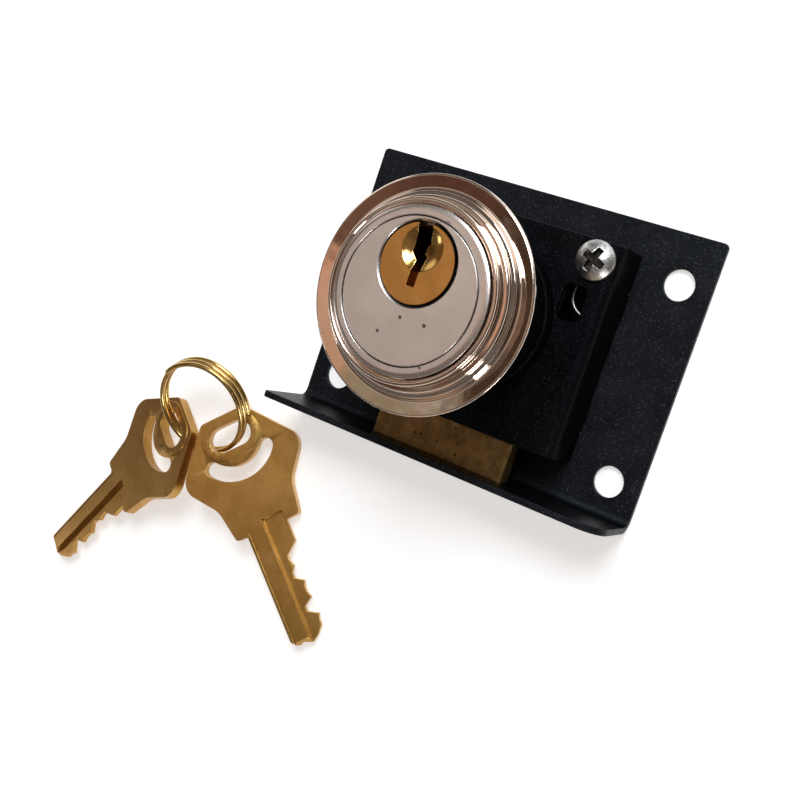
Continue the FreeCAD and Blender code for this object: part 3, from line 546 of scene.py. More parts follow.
def make_zinc(name="zinc_plate", screw=None):
    material, tree, shader, place = start_material(name)
    blotch = use_group(tree, blotch_group, place=place, size=0.8, contrast=1.0)["Mask"]
    grain = use_group(tree, grain_group, place=place, size=0.22)
    colour = mix_colour(tree, blotch, (0.42, 0.42, 0.415, 1), (0.78, 0.78, 0.77, 1))
    colour = mix_colour(tree, times(tree, grain["Specks"], 0.5), colour, (0.12, 0.12, 0.12, 1))
    # Painted shade in slots and corners.
    colour, mask = corner_shade_and_dirt(tree, colour, 1.6, 0.98)
    if screw:
        # Painted shade: the screws' cross recess is painted near black.
        colour = mix_colour(tree, recess_shade_mask(tree, place, *screw), colour, (0.062, 0.058, 0.052, 1))
    rough = remap(tree, grain["Value"], 0.3, 0.7, 0.26, 0.44)
    feed(tree, shader, {"Base Color": colour, "Metallic": 1.0,
                        "Roughness": plus(tree, rough, times(tree, mask, 0.4)),
                        "Normal": bumped(tree, blotch, 0.03, 0.5)})
    return material


def make_spring_steel():
    material, tree, shader, place = start_material("spring_steel")
    grain = use_group(tree, grain_group, place=place, size=0.3)["Value"]
    colour = mix_colour(tree, grain, (0.10, 0.10, 0.10, 1), (0.36, 0.36, 0.36, 1))
    feed(tree, shader, {"Base Color": colour, "Metallic": 1.0,
                        "Roughness": remap(tree, grain, 0.3, 0.7, 0.22, 0.38)})
    return material


# %% [markdown]
# The cylinder's face is satin plate: brushed, faintly ringed by the lathe, with a few small pits. A turned
# line runs round it. The line is cut into the mesh further down, and shade is painted into it here by its
# radius. Shade is painted into the slots and corners as well.

# %% Satin plate
def make_satin_chrome(centre, line_radius):
    material, tree, shader, place = start_material("satin_chrome")
    rings = use_group(tree, lathe_group, place=place, centre=centre, pitch=0.10)
    grain = use_group(tree, grain_group, place=place, size=0.10)
    brush = use_group(tree, brush_group, place=place, heading=1.2, length=5.0, width=0.16)["Value"]
    blotch = use_group(tree, blotch_group, place=place, size=5.0, contrast=0.8)["Mask"]
    pits = use_group(tree, pit_group, place=place, size=1.5, share=0.10)["Mask"]
    colour = mix_colour(tree, blotch, (0.82, 0.765, 0.74, 1), (0.91, 0.86, 0.84, 1))
    colour = mix_colour(tree, remap(tree, brush, 0.62, 0.80, 0.0, 0.35), colour, (0.70, 0.68, 0.67, 1))
    colour = mix_colour(tree, times(tree, pits, 0.85), colour, (0.05, 0.045, 0.045, 1))
    # Painted shade: the turned line is darkened by its radius.
    from_line = math_node(tree, "ABSOLUTE", minus(tree, level_distance(tree, place, centre), line_radius))
    line = remap(tree, from_line, 0.13, 0.05)
    colour = mix_colour(tree, times(tree, line, 0.9), colour, (0.03, 0.027, 0.025, 1))
    # Painted shade in slots and corners.
    colour, mask = corner_shade_and_dirt(tree, colour, 0.45, 1.0)
    rough = remap(tree, grain["Value"], 0.3, 0.7, 0.22, 0.33)
    lines = bumped(tree, rings["Height"], 0.004, 0.3)
    lines = bumped(tree, brush, 0.006, 0.4, below=lines)
    feed(tree, shader, {"Base Color": colour, "Metallic": 1.0,
                        "Roughness": plus(tree, rough, times(tree, mask, 0.4)),
                        "Normal": bumped(tree, minus(tree, 1.0, pits), 0.04, 0.6, below=lines)})
    return material


# %% [markdown]
# The stepped ring is polished plate, so it takes nearly all its look from the room. What the finish adds is
# a warm tint and a slight waviness, which keeps its reflections from being as clean as a computer's mirror.

# %% Mirror plate
def make_mirror_nickel(centre):
    material, tree, shader, place = start_material("mirror_nickel")
    rings = use_group(tree, lathe_group, place=place, centre=centre, pitch=0.35)
    blotch = use_group(tree, blotch_group, place=place, size=5.0, contrast=0.9)["Mask"]
    colour = mix_colour(tree, blotch, (0.80, 0.655, 0.555, 1), (0.87, 0.745, 0.665, 1))
    waves = bumped(tree, noise(tree, place, 0.30, 2.0), 0.06, 0.35)
    feed(tree, shader, {"Base Color": colour, "Metallic": 1.0,
                        "Roughness": remap(tree, blotch, 0.0, 1.0, 0.045, 0.085),
                        "Normal": bumped(tree, rings["Wobble"], 1.2, 0.10, below=waves)})
    return material


# %% [markdown]
# Brass comes in several states here: milled keys, an old cast bolt, drawn wire and turned pins. One
# function makes them all, and what differs is given to it: the two tones, brushing, pits, worn edges, shade
# painted into corners, and shade painted on the bolt where it runs under the case.

# %% Brass
def make_brass(name, dark, light, rough, pitted=0.0, pit_size=1.0, worn=0.5, blotch_size=5.0,
               grain_depth=0.01, brushed_at=None, corner_shade=0.6, case_shade_from=None):
    material, tree, shader, place = start_material(name)
    blotch = use_group(tree, blotch_group, place=place, size=blotch_size, contrast=0.9)["Mask"]
    grain = use_group(tree, grain_group, place=place, size=0.20)["Value"]
    colour = mix_colour(tree, blotch, dark + (1,), light + (1,))
    height = grain
    if brushed_at is not None:
        brush = use_group(tree, brush_group, place=place, heading=brushed_at, length=7.0,
                          width=0.18)["Value"]
        deep = tuple(c * 0.72 for c in dark) + (1,)
        colour = mix_colour(tree, remap(tree, brush, 0.56, 0.75, 0.0, 0.55), colour, deep)
        height = plus(tree, times(tree, height, 0.5), brush)
    if pitted:
        pits = use_group(tree, pit_group, place=place, size=pit_size, share=pitted)["Mask"]
        colour = mix_colour(tree, times(tree, pits, 0.9), colour, (0.02, 0.014, 0.008, 1))
        height = minus(tree, height, pits)
    uneven = remap(tree, grain, 0.3, 0.7, rough - 0.05, rough + 0.08)
    if worn:
        edge = use_group(tree, edge_group, place=place, width=0.0003, breaks=0.1, size=1.5)["Mask"]
        bright = tuple(min(1.0, c * 1.25 + 0.03) for c in light) + (1,)
        colour = mix_colour(tree, times(tree, edge, worn), colour, bright)
        uneven = minus(tree, uneven, times(tree, edge, 0.10))
    # Painted shade in corners and grooves.
    if corner_shade:
        colour, _ = corner_shade_and_dirt(tree, colour, 0.8, corner_shade, (0.03, 0.015, 0.004, 1))
    # Painted shade: the bolt turns near black where it runs under the case.
    if case_shade_from is not None:
        under_case_shade = remap(tree, separate(tree, place)[1], case_shade_from, case_shade_from + 1.5)
        colour = mix_colour(tree, under_case_shade, colour, (0.02, 0.015, 0.010, 1))
    feed(tree, shader, {"Base Color": colour, "Metallic": 1.0, "Roughness": uneven,
                        "Normal": bumped(tree, height, grain_depth, 0.8)})
    return material


# %% [markdown]
# The plug's face is turned brass with a satin skin. The dish in it is brighter and smoother, and its tool
# marks run out from its middle, so its noise is looked up by angle. A near-black rim is painted shade in the
# gap round the plug, and shade is painted into the keyway too.

# %% Plug brass
def make_plug_brass(axis, dish_centre, dish_radius, gap_shade_radius=6.36):
    material, tree, shader, place = start_material("plug_brass")
    grain = use_group(tree, grain_group, place=place, size=0.30)["Value"]
    blotch = use_group(tree, blotch_group, place=place, size=3.0, contrast=0.8)["Mask"]
    off = separate(tree, vector_node(tree, "SUBTRACT", place, dish_centre))
    turn = math_node(tree, "ARCTAN2", off[1], off[0])
    radius = level_distance(tree, place, dish_centre)
    dish = remap(tree, radius, dish_radius + 0.04, dish_radius - 0.04)
    spot = combine(tree, times(tree, math_node(tree, "COSINE", turn), 9.0),
                   times(tree, math_node(tree, "SINE", turn), 9.0), times(tree, radius, 0.4))
    rays = noise(tree, spot, 1.0, 3.0)
    colour = mix_colour(tree, blotch, (0.66, 0.325, 0.090, 1), (0.77, 0.395, 0.118, 1))
    colour = mix_colour(tree, dish, colour, (0.66, 0.395, 0.125, 1))
    # Painted shade: a near-black rim in the gap round the plug.
    rim = remap(tree, level_distance(tree, place, axis), gap_shade_radius - 0.12, gap_shade_radius + 0.02)
    colour = mix_colour(tree, rim, colour, (0.006, 0.004, 0.003, 1))
    # Painted shade: the keyway and other hollows fall to near black.
    colour, _ = corner_shade_and_dirt(tree, colour, 1.4, 0.97, (0.008, 0.005, 0.003, 1))
    satin = remap(tree, grain, 0.3, 0.7, 0.27, 0.30)
    feed(tree, shader, {"Base Color": colour, "Metallic": 1.0,
                        "Roughness": minus(tree, satin, times(tree, dish, 0.13)),
                        "Normal": bumped(tree, times(tree, rays, dish), 0.02, 0.5)})
    return material


# %% [markdown]
# Some finishes need to know where they sit: the lathe's rings run round the barrel's axis, the dish lies
# beyond the plug's own axis, and the shade painted on the bolt starts just inside the case's front edge. All
# three are measured from the boxes of the frame's pieces.

# %% Places of the finishes
def middle_of(node):
    """The middle of a node, in millimetres."""
    low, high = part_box(node)
    return (low + high) * 0.5 / MM


barrel_axis = middle_of("barrel_tube")
plug_axis = middle_of("plug")
barrel_centre = (0, barrel_axis.y, 0)
plug_centre = (0, plug_axis.y, 0)
dish_offset = 2.35
dish_centre = (0, plug_axis.y + dish_offset, 0)
dish_radius = 3.7
scribe_radius = 11.65
# The shade painted on the bolt begins this far inside the case's front edge.
case_shade_inset = 1.0
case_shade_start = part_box("case_cover")[0].y / MM + case_shade_inset
print("barrel's axis at y %.2f, plug's at y %.2f" % (barrel_axis.y, plug_axis.y))

# %% [markdown]
# Each material slot of the lock has a finish, and some pieces have one of their own. The case's paint is
# finer and blacker than the plate's. Each key is brushed along its own blade, and the two keys are lit and
# shaded copies of one brass, with painted light on the front one and painted shade on the rear one.

# %% A finish for each slot
finishes = {
    "black_paint": make_black_paint("black_paint", (0.0046, 0.0049, 0.0066), 0.42, 0.45, 0.17),
    "case_paint": make_black_paint("case_paint", (0.0014, 0.0014, 0.0020), 0.38, 0.20, 0.08),
    "black_tube": make_black_paint("black_tube", (0.0030, 0.0027, 0.0028), 0.46, 0.05, 0.05),
    "zinc_plate": make_zinc(),
    "spring_steel": make_spring_steel(),
    "satin_chrome": make_satin_chrome(barrel_centre, scribe_radius),
    "mirror_nickel": make_mirror_nickel(barrel_centre),
    "plug_brass": make_plug_brass(plug_centre, dish_centre, dish_radius),
    "pin_brass": make_brass("pin_brass", (0.60, 0.42, 0.18), (0.75, 0.55, 0.28), 0.25),
    # The bolt's tones are dark, partly for old cast brass and partly as painted shade under the ring and the
    # case.
    "bolt_brass": make_brass("bolt_brass", (0.22, 0.137, 0.054), (0.345, 0.225, 0.092), 0.44, pitted=0.80,
                             pit_size=1.1, worn=1.0, blotch_size=2.2, grain_depth=0.03,
                             case_shade_from=case_shade_start),
    "ring_brass": make_brass("ring_brass", (0.56, 0.37, 0.12), (0.78, 0.57, 0.24), 0.17, worn=0.0,
                             blotch_size=4.0, grain_depth=0.0003, corner_shade=0.0),
}

# %% Brass for the two keys
key_headings = {"key_front": -44.9, "key_rear": -121.0}
# Painted light and shade: one brass, made lighter for the front key and darker for the rear one.
key_light_and_shade = {"key_front": (1.09, 1.07, 1.02), "key_rear": (0.92, 0.85, 0.81)}
key_dark = (0.47, 0.282, 0.080)
key_light = (0.60, 0.376, 0.126)
for node, heading in key_headings.items():
    dark, light = (tuple(c * s for c, s in zip(tone, key_light_and_shade[node])) for tone in (key_dark, key_light))
    finishes[node] = make_brass(node + "_brass", dark, light, 0.33, pitted=0.05, pit_size=1.6, worn=0.35,
                                blotch_size=6.0, grain_depth=0.012, brushed_at=math.radians(heading),
                                corner_shade=0.35)
print("finishes: " + ", ".join(sorted(finishes)))

# %% [markdown]
# ## Ways to make a metal piece
# A stamped or milled piece is a flat outline given its thickness, whose edges are then rounded. The frame
# already holds the exact outline, so a clean copy of it is welded, its flat facets are joined, and only its
# sharp edges are rounded: a real stamped edge is never knife-sharp, and the thin highlight that runs along
# it is what makes steel look like steel. Modifiers do the rounding, and their result becomes the mesh.

# %% Placing a piece
def place_piece(name, mesh, body, slot, node, finish=None):
    """Gives the mesh its finish, and lets it ride on its body in place of the node."""
    piece = bpy.data.objects.new(name, mesh)
    bpy.context.scene.collection.objects.link(piece)
    mesh.materials.clear()
    mesh.materials.append(finishes[finish or slot])
    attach(piece, body)
    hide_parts(node)
    return piece


def shade(mesh, angle=32.0):
    mesh.polygons.foreach_set("use_smooth", [True] * len(mesh.polygons))
    mesh.set_sharp_from_angle(angle=math.radians(angle))
    mesh.update()
    return mesh


# %% Rounding edges
def with_modifiers(mesh, prepare):
    """Puts the mesh on a passing object, lets prepare add modifiers to it, and gives back the result."""
    carrier = bpy.data.objects.new("carrier", mesh)
    bpy.context.scene.collection.objects.link(carrier)
    prepare(carrier)
    bpy.context.view_layer.update()
    seen_mesh = carrier.evaluated_get(bpy.context.evaluated_depsgraph_get())
    result = bpy.data.meshes.new_from_object(seen_mesh)
    bpy.data.objects.remove(carrier)
    return result


def weigh_normals(carrier):
    """Lets the large faces set the shading, so that a flat beside a small curve stays flat."""
    weigh = carrier.modifiers.new("flats", "WEIGHTED_NORMAL")
    weigh.mode = "FACE_AREA"
    weigh.weight = 100
    weigh.keep_sharp = True


def rounded(mesh, width_mm, segments=2, angle=35.0):
    def prepare(carrier):
        bevel = carrier.modifiers.new("edges", "BEVEL")
        bevel.width = width_mm * MM
        bevel.segments = segments
        bevel.limit_method = "ANGLE"
        bevel.angle_limit = math.radians(angle)
        bevel.use_clamp_overlap = False
        bevel.loop_slide = False
        weigh_normals(carrier)
    return with_modifiers(mesh, prepare)


# %% [markdown]
# Where a piece needs a cut that the frame doesn't have, such as a chamfer or a recess, closed cutter meshes
# are taken away from it. The mesh is split into triangles first, because small flat faces cut more safely
# than large ones, and it is cleaned again afterwards.

# %% Cleaning
weld_distance = 0.002


def reworked(mesh, *steps):
    """The mesh after each step, a function of its bmesh, has been run on it."""
    work = bmesh.new()
    work.from_mesh(mesh)
    for step in steps:
        step(work)
    work.to_mesh(mesh)
    work.free()
    return mesh


def cleaned(mesh, join_flats=True, flat_angle=0.5):
    """The mesh with its seams welded and its flat facets joined, ready for rounding."""
    work = bmesh.new()
    work.from_mesh(mesh)
    bmesh.ops.remove_doubles(work, verts=work.verts, dist=weld_distance * MM)
    if join_flats:
        bmesh.ops.dissolve_limit(work, angle_limit=math.radians(flat_angle), verts=work.verts,
                                 edges=work.edges)
    verts = [v.co.copy() for v in work.verts]
    work.verts.index_update()
    faces = [[v.index for v in f.verts] for f in work.faces]
    work.free()
    fresh = bpy.data.meshes.new("clean")
    fresh.from_pydata(verts, [], faces)
    fresh.polygons.foreach_set("use_smooth", [True] * len(fresh.polygons))
    return fresh


# %% Carving
def carved(mesh, *cutters, join_flats=True):
    """The mesh with closed cutter meshes taken away from it."""
    mesh = reworked(mesh, lambda work: bmesh.ops.triangulate(work, faces=work.faces))
    tools = []

    def prepare(carrier):
        for cutter in cutters:
            tool = bpy.data.objects.new("cutter", cutter)
            bpy.context.scene.collection.objects.link(tool)
            tools.append(tool)
            cut = carrier.modifiers.new("cut", "BOOLEAN")
            cut.operation = "DIFFERENCE"
            cut.solver = "EXACT"
            cut.object = tool

    result = with_modifiers(mesh, prepare)
    for tool in tools:
        bpy.data.objects.remove(tool)
    return cleaned(result, join_flats, 0.2)


# %% [markdown]
# Most pieces need no more than this: one call takes a clean copy of a node, carves it where it has cutters,
# rounds its edges and puts it in place.

# %% Dressing a node
def welded_copy(node):
    return cleaned(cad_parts[node].data)


def dress(node, name, slot, width_mm, body="root", segments=2, cutters=(), finish=None):
    """A rounded copy of a node, carved first where there are cutters."""
    mesh = welded_copy(node)
    if cutters:
        mesh = carved(mesh, *cutters)
    mesh = rounded(mesh, width_mm, segments)
    place_piece(name, mesh, body, slot, node, finish)
    print("%s: %d faces, edges rounded by %.2f mm" % (name, len(mesh.polygons), width_mm))


# %% [markdown]
# ## Plate, case and bolt
# The plate, the case and the bolt's bearer are pressed from sheet, and the bolt is a brass casting. Their
# outlines are right in the frame, and so are those of the posts and the tube's seat, so each is a welded
# copy with rounded edges. Paint fills small radii, so the plate and the case get the widest rounding.

# %% Plate, case, bolt and bearer
dress("back_plate", "painted_plate", "black_paint", 0.20)
dress("case_cover", "painted_case", "black_paint", 0.22, segments=3, finish="case_paint")
dress("bolt", "cast_bolt", "bolt_brass", 0.16, body="bolt")
dress("screw_posts", "screw_post_pair", "zinc_plate", 0.10)
dress("bolt_bearer", "bearer_bridge", "zinc_plate", 0.10)
dress("seat_collar", "tube_seat", "black_paint", 0.15, finish="black_tube")

# %% [markdown]
# ## Turned pieces
# A turned piece is a profile swung round an axis. The profile is a closed list of corners, each with the
# radius that rounds it, so that a lathe drawing can be read straight off.

# %% Rounding a profile's corners
def soft_profile(points, steps=5):
    """A profile through (radius, height, corner radius) points in millimetres, with its corners rounded."""
    out = []
    count = len(points)
    for i, (r, z, corner) in enumerate(points):
        here = Vector((r, z))
        back = Vector(points[i - 1][:2]) - here
        ahead = Vector(points[(i + 1) % count][:2]) - here
        if corner == 0:
            out.append(here)
            continue
        half = back.angle(ahead) / 2
        reach = min(corner / math.tan(half), back.length * 0.48, ahead.length * 0.48)
        corner = reach * math.tan(half)
        middle = (back.normalized() + ahead.normalized()).normalized()
        centre = here + middle * (corner / math.sin(half))
        first = here + back.normalized() * reach - centre
        last = here + ahead.normalized() * reach - centre
        turn = first.angle_signed(last)
        for k in range(steps + 1):
            out.append(centre + Matrix.Rotation(-turn * k / steps, 2) @ first)
    return out


# %% Turning a profile
def faces_outward(work):
    bmesh.ops.recalc_face_normals(work, faces=work.faces)


def turned(points, centre, steps=224):
    """A mesh of revolution about an upright axis through centre, from a closed profile in millimetres."""
    profile = soft_profile(points)
    verts = []
    for k in range(steps):
        angle = 2 * math.pi * k / steps
        for r, z in profile:
            verts.append(Vector((centre[0] + r * math.cos(angle), centre[1] + r * math.sin(angle), z)) * MM)
    rows = len(profile)
    faces = []
    for k in range(steps):
        this, following = k * rows, (k + 1) % steps * rows
        for i in range(rows):
            j = (i + 1) % rows
            faces.append((this + i, following + i, following + j, this + j))
    mesh = bpy.data.meshes.new("turned")
    mesh.from_pydata(verts, [], faces)
    return reworked(mesh, lambda work: bmesh.ops.remove_doubles(work, verts=work.verts, dist=0.0005 * MM),
                    faces_outward)


# %% [markdown]
# ## The case screws
# Pan-head screws have a dome that is turned, and a cross recess that is pressed by a punch whose arms taper
# towards the bottom. Carving the dome with two tapered bars gives the slanted walls that catch the light.

# %% Sizes of the case screws
screw_low, screw_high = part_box("case_screws")
screw_radius = 3.4
screw_head_height = 2.1
dome_radius = 4.93
shank_radius = 1.73
recess_turn = 68.0
recess_depth = 1.25
recess_reach = 2.5
recess_top = (2.75, 0.74)
recess_bottom = (1.55, 0.42)
crown_z = screw_high.z / MM
screw_x = screw_high.x / MM - screw_radius
screw_y = (screw_low.y + screw_high.y) / 2 / MM
print("case screws stand %.1f mm apart" % (2 * screw_x))


# %% Head and cross recess
def pan_screw_profile(arc_steps=10):
    dome = []
    for k in range(arc_steps + 1):
        r = screw_radius * k / arc_steps
        dome.append((r, crown_z - dome_radius + math.sqrt(dome_radius ** 2 - r ** 2), 0))
    dome[-1] = dome[-1][:2] + (0.15,)
    under_z = crown_z - screw_head_height
    bottom_z = screw_low.z / MM
    return dome + [(screw_radius, under_z, 0.1), (shank_radius, under_z, 0), (shank_radius, bottom_z, 0.2),
                   (0, bottom_z, 0)]


def recess_arm(x, y, degrees):
    """A bar whose half length and half width shrink towards its bottom."""
    turn = math.radians(degrees)
    verts = []
    for z, (length, width) in ((crown_z - recess_depth, recess_bottom), (crown_z + 0.3, recess_top)):
        for a, b in ((-length, -width), (length, -width), (length, width), (-length, width)):
            verts.append(Vector((x + a * math.cos(turn) - b * math.sin(turn),
                                 y + a * math.sin(turn) + b * math.cos(turn), z)) * MM)
    sides = [(0, 1, 5, 4), (1, 2, 6, 5), (2, 3, 7, 6), (3, 0, 4, 7)]
    mesh = bpy.data.meshes.new("arm")
    mesh.from_pydata(verts, [], [(3, 2, 1, 0), (4, 5, 6, 7)] + sides)
    return mesh


def joined(meshes):
    work = bmesh.new()
    for mesh in meshes:
        work.from_mesh(mesh)
    result = bpy.data.meshes.new("joined")
    work.to_mesh(result)
    work.free()
    return result


# %% Case screws
screws = []
for side in (1, -1):
    blank = turned(pan_screw_profile(), Vector((side * screw_x, screw_y, 0)), steps=64)
    arms = [recess_arm(side * screw_x, screw_y, recess_turn + quarter) for quarter in (0, 90)]
    screws.append(rounded(carved(blank, *arms), 0.05))
finishes["case_zinc"] = make_zinc("case_zinc", (screw_x, screw_y, crown_z, dome_radius, recess_reach))
screw_pair = shade(joined(screws))
place_piece("case_screw_pair", screw_pair, "root", "zinc_plate", "case_screws", "case_zinc")
print("case_screw_pair: %d faces, heads %.1f mm wide" % (len(screw_pair.polygons), 2 * screw_radius))

# %% [markdown]
# ## The cylinder head and the plug
# The head is one plated casting. The plug's bore has a bright chamfer, and the plug's own rim is broken
# too, so a dark line shows between them, which the plug's finish deepens with painted shade. A turned line
# runs round the face, with shade painted into it, and the head's outer edge is cut back at a slant. All are
# carved into the copies of the frame's solids with turned cutters.

# %% Sizes of the head and the plug
head_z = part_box("cylinder_body")[1].z / MM
head_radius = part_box("cylinder_body")[1].x / MM
plug_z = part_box("plug")[1].z / MM
plug_radius = 6.5
plug_break = 0.12
bore_radius = 6.55
bore_chamfer = 0.36
scribe_half = 0.19
scribe_depth = 0.26
rim_width = 0.80
rim_drop = 0.36
print("head %.1f mm across, plug %.1f mm" % (2 * head_radius, 2 * plug_radius))

# %% Head and plug
bore_cutter = turned([(0, head_z - bore_chamfer, 0), (bore_radius, head_z - bore_chamfer, 0),
                      (bore_radius + 2 * bore_chamfer, head_z + bore_chamfer, 0),
                      (0, head_z + bore_chamfer, 0)], plug_axis, steps=128)
scribe_cutter = turned([(scribe_radius - scribe_half, head_z + 0.05, 0),
                        (scribe_radius, head_z - scribe_depth, 0),
                        (scribe_radius + scribe_half, head_z + 0.05, 0)], barrel_axis, steps=160)
rim_cutter = turned([(head_radius - rim_width, head_z, 0),
                     (head_radius + rim_width, head_z - 2 * rim_drop, 0),
                     (head_radius + rim_width, head_z + 1, 0),
                     (head_radius - rim_width, head_z + 1, 0)], barrel_axis, steps=160)
plug_cutter = turned([(plug_radius - plug_break, plug_z + 1, 0), (plug_radius - plug_break, plug_z, 0),
                      (plug_radius + plug_break, plug_z - 2 * plug_break, 0),
                      (plug_radius + 1.5, plug_z - 2 * plug_break, 0), (plug_radius + 1.5, plug_z + 1, 0)],
                     plug_axis, steps=128)
head_cutters = [bore_cutter, scribe_cutter, rim_cutter]
dress("cylinder_body", "lock_cylinder", "satin_chrome", 0.05, cutters=head_cutters)
dress("plug", "keyed_plug", "plug_brass", 0.07, body="plug", cutters=[plug_cutter])

# %% [markdown]
# ## The trim ring and the tube
# Both are turned. The ring's flange dips towards the middle, and two rounded shoulders climb from it to the
# head. Those small curves are what make its bright and dark bands, so its shading is weighed by area: that
# way the dish keeps its own slope right up to the shoulders.

# %% Ring and tube
def trim_profile():
    """Radii go inwards from the rim, heights up from the underside or down from the crest."""
    low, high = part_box("trim_ring")
    rim = high.x / MM
    base = low.z / MM
    crest = high.z / MM
    bore = head_radius + 0.12
    underside = [(rim - 6.95, base, 0.05), (rim - 3.9, base, 0.2), (rim - 3.1, base + 1.45, 0.3),
                 (rim - 0.25, base + 1.45, 0.08)]
    flange = [(rim, base + 1.70, 0.12), (rim, base + 2.10, 0.14), (rim - 0.30, base + 2.25, 0.16),
              (rim - 2.45, base + 1.90, 0.4)]
    shoulders = [(rim - 2.85, base + 2.68, 0.42), (rim - 3.5, base + 2.80, 0.06),
                 (rim - 3.53, base + 3.66, 0.70), (rim - 4.38, base + 3.74, 0.06),
                 (rim - 4.42, crest - 0.05, 0.55), (rim - 5.0, crest, 0.3)]
    inside = [(bore, crest - 0.55, 0.06), (bore, base + 1.0, 0.0), (rim - 6.95, base + 1.0, 0.0)]
    return underside + flange + shoulders + inside


def tube_profile(wall=1.0):
    low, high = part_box("barrel_tube")
    outer = high.x / MM
    return [(outer - wall, low.z / MM, 0.1), (outer, low.z / MM, 0.1), (outer, high.z / MM, 0.15),
            (outer - wall, high.z / MM, 0.1)]


trim_mesh = with_modifiers(shade(turned(trim_profile(), barrel_axis)), weigh_normals)
place_piece("stepped_ring", trim_mesh, "root", "mirror_nickel", "trim_ring")
tube_mesh = shade(turned(tube_profile(), barrel_axis))
place_piece("barrel", tube_mesh, "root", "black_tube", "barrel_tube")
print("stepped_ring: %d faces, barrel: %d faces" % (len(trim_mesh.polygons), len(tube_mesh.polygons)))

# %% [markdown]
# ## The split ring
# A split ring is one length of wire wound a little over twice, so two or three strands lie side by side. It
# is drawn here as the path of that wire, a circle that climbs steadily along its own axis, with a round
# section carried along it.

# %% Wire
def tube_along(path, radius, sides):
    """Corners and faces of a round wire with flat ends, along a path of points in millimetres."""
    verts = []
    side = None
    for i, here in enumerate(path):
        way = (path[min(i + 1, len(path) - 1)] - path[max(i - 1, 0)]).normalized()
        side = way.orthogonal() if side is None else side - way * side.dot(way)
        side.normalize()
        other = way.cross(side)
        for k in range(sides):
            turn = 2 * math.pi * k / sides
            verts.append((here + (side * math.cos(turn) + other * math.sin(turn)) * radius) * MM)
    faces = []
    for i in range(len(path) - 1):
        for k in range(sides):
            a, b = i * sides + k, i * sides + (k + 1) % sides
            faces.append((a, b, b + sides, a + sides))
    faces.append(tuple(range(sides - 1, -1, -1)))
    faces.append(tuple(range(len(verts) - sides, len(verts))))
    return verts, faces


def wire_mesh(name, wires):
    """One mesh of several round wires."""
    verts, faces = [], []
    for more_verts, more_faces in wires:
        start = len(verts)
        verts += more_verts
        faces += [tuple(start + i for i in face) for face in more_faces]
    mesh = bpy.data.meshes.new(name)
    mesh.from_pydata(verts, [], faces)
    return shade(mesh)


# %% Sizes of the split ring
ring_centre = Vector((-51.57, -32.56, 7.84))
ring_radius = 9.5
ring_wire = 0.50
ring_pitch = 1.30
ring_turns = 2.38
ring_start = 259.2
ring_tilt = math.radians(26.9)
ring_azimuth = math.radians(106.6)
print("split ring is tilted %.1f degrees" % math.degrees(ring_tilt))

# %% Split ring
rising = Vector((math.cos(ring_tilt) * math.cos(ring_azimuth), math.cos(ring_tilt) * math.sin(ring_azimuth),
                 math.sin(ring_tilt)))
level = Vector((-math.sin(ring_azimuth), math.cos(ring_azimuth), 0))


def ring_spot(degrees, lift=0.0):
    """A point of the ring's circle, lifted along the ring's axis."""
    turn = math.radians(degrees)
    around = rising * math.cos(turn) + level * math.sin(turn)
    return ring_centre + around * ring_radius + rising.cross(level) * lift


def ring_path(steps=480):
    climb = ring_pitch * ring_turns
    return [ring_spot(ring_start + 360 * ring_turns * k / steps, climb * (k / steps - 0.5))
            for k in range(steps + 1)]


ring_mesh = wire_mesh("key_ring_wire", [tube_along(ring_path(), ring_wire, 28)])
place_piece("key_ring_wire", ring_mesh, "split_ring", "ring_brass", "split_ring")
print("key_ring_wire: %.0f mm of wire" % (2 * math.pi * ring_radius * ring_turns))

# %% [markdown]
# ## The keys
# A key blank is stamped from brass sheet and its blade is milled afterwards. Each key is taken to a frame
# of its own, where the ring hole is the origin and the blade runs along X. There the milling is simple cuts:
# a fine groove beside the spine, a chamfer along it and a slanted nose. Then the key goes back to where it
# lies.

# %% Key frames
key_poses = {
    "key_front": (224.1, (-1.0, -0.8), 4.85, -15.9),
    "key_rear": (125.4, (0.64, -0.42), 3.9, 17.1),
}


def key_frame(node):
    """The key's place: where the wire crosses its hole, and the key's roll, pitch and heading."""
    crossing, in_hole, pitch, roll = key_poses[node]
    turn = Euler([math.radians(a) for a in (roll, pitch, key_headings[node])], "XYZ").to_matrix()
    place = ring_spot(crossing) + turn @ Vector(in_hole + (0,))
    return Matrix.Translation(place * MM) @ turn.to_4x4()


# %% Milling cuts
key_face = 1.05
shoulder_x = 19.4
blade_length = 23.4
tip_x = shoulder_x + blade_length
spine_y = -4.6
nose_half = 7


def prism(corners, low, high, axis):
    """A closed prism in millimetres: corners are in the plane across the axis, low and high along it."""
    def spot(a, b, c):
        return {"x": (c, a, b), "y": (a, c, b)}[axis]

    count = len(corners)
    verts = [Vector(spot(a, b, c)) * MM for c in (low, high) for a, b in corners]
    faces = [tuple(range(count)), tuple(range(2 * count - 1, count - 1, -1))]
    for i in range(count):
        j = (i + 1) % count
        faces.append((i, j, count + j, count + i))
    mesh = bpy.data.meshes.new("prism")
    mesh.from_pydata(verts, [], faces)
    return reworked(mesh, faces_outward)


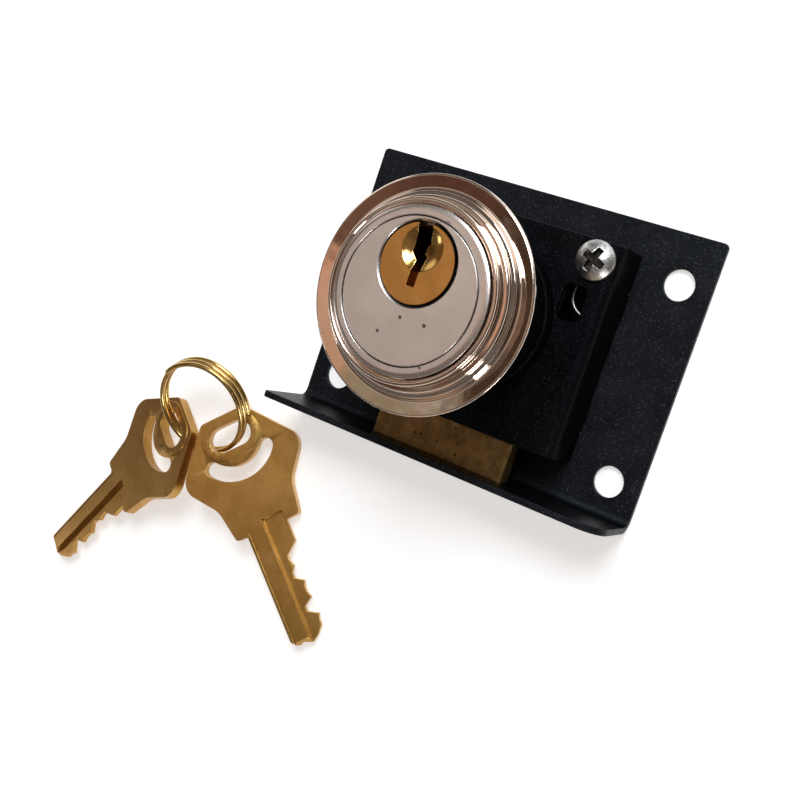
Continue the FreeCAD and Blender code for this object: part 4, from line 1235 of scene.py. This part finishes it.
def key_cutters():
    groove_y = spine_y + 0.85
    groove = [(groove_y - 0.18, key_face + 0.1), (groove_y, key_face - 0.22),
              (groove_y + 0.18, key_face + 0.1)]
    chamfer = [(spine_y - 0.6, key_face - 0.9), (spine_y + 1.0, key_face + 0.5),
               (spine_y - 0.6, key_face + 0.5)]
    nose = [(tip_x - 1.2, key_face + 0.01), (tip_x + 0.6, key_face - 1.3), (tip_x + 0.6, key_face + 0.8),
            (tip_x - 1.2, key_face + 0.8)]
    return [prism(groove, shoulder_x - 0.6, tip_x + 1, "x"),
            prism(chamfer, shoulder_x + 0.3, tip_x + 1, "x"),
            prism(nose, -nose_half, nose_half, "y")]


# %% Keys
def make_key(node, name):
    to_place = key_frame(node)
    mesh = welded_copy(node)
    mesh.transform(to_place.inverted())
    mesh = carved(mesh, *key_cutters(), join_flats=False)
    mesh.transform(to_place)
    mesh = rounded(mesh, 0.09, 3)
    place_piece(name, mesh, node, "key_brass", node, node)
    print("%s: %d faces" % (name, len(mesh.polygons)))


make_key("key_front", "front_key")
make_key("key_rear", "rear_key")

# %% [markdown]
# ## Inside the cylinder
# The frame holds each pin spring as the sleeve that it fills. Here each is wound from wire, with close turns
# at both ends.

# %% Sizes of the pin springs
spring_count = 5
spring_radius = 1.2
spring_wire = 0.17
spring_turns = 7
end_closeness = 0.12
spring_low, spring_high = (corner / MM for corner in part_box("pin_springs"))
spring_length = spring_high.y - spring_low.y
spring_step = (spring_high.z - spring_low.z - 2 * spring_radius) / (spring_count - 1)
print("springs are %.2f mm long and %.2f mm apart" % (spring_length, spring_step))


# %% Pin springs
def spring_path(z, steps=24):
    """A coil that stands along Y, with its turns drawn together at both ends."""
    coil = spring_radius - spring_wire
    climb = spring_length - 2 * spring_wire
    points = []
    for k in range(spring_turns * steps + 1):
        share = k / (spring_turns * steps)
        eased = share - end_closeness * math.sin(2 * math.pi * share)
        turn = 2 * math.pi * spring_turns * share
        points.append(Vector((coil * math.cos(turn), spring_low.y + spring_wire + climb * eased,
                              z + coil * math.sin(turn))))
    return points


coils = []
for k in range(spring_count):
    path = spring_path(spring_low.z + spring_radius + spring_step * k)
    coils.append(tube_along(path, spring_wire, 10))
spring_mesh = wire_mesh("wound_springs", coils)
spring_piece = place_piece("wound_springs", spring_mesh, "root", "spring_steel", "pin_springs")
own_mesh(spring_piece)
print("wound_springs: %d springs of %d turns" % (spring_count, spring_turns))

# %% [markdown]
# The other inner pieces are small turned and stamped ones. Nobody sees them in the closed lock, but they are
# finished like the rest, so that the lock can be opened up or cut away in a picture.

# %% Pins, cam and long screws
dress("key_pins", "key_pin_row", "pin_brass", 0.08, body="plug")
dress("driver_pins", "driver_pin_row", "pin_brass", 0.08, body="driver_pins")
dress("cam", "crank_cam", "zinc_plate", 0.12, body="plug")
dress("cam_screws", "cam_screw_pair", "zinc_plate", 0.06, body="plug")
dress("cylinder_screws", "long_screw_pair", "zinc_plate", 0.08)
dress("chamber_cover", "chamber_strip", "pin_brass", 0.08)
dress("detent_spring", "bent_wire_spring", "spring_steel", 0.04)
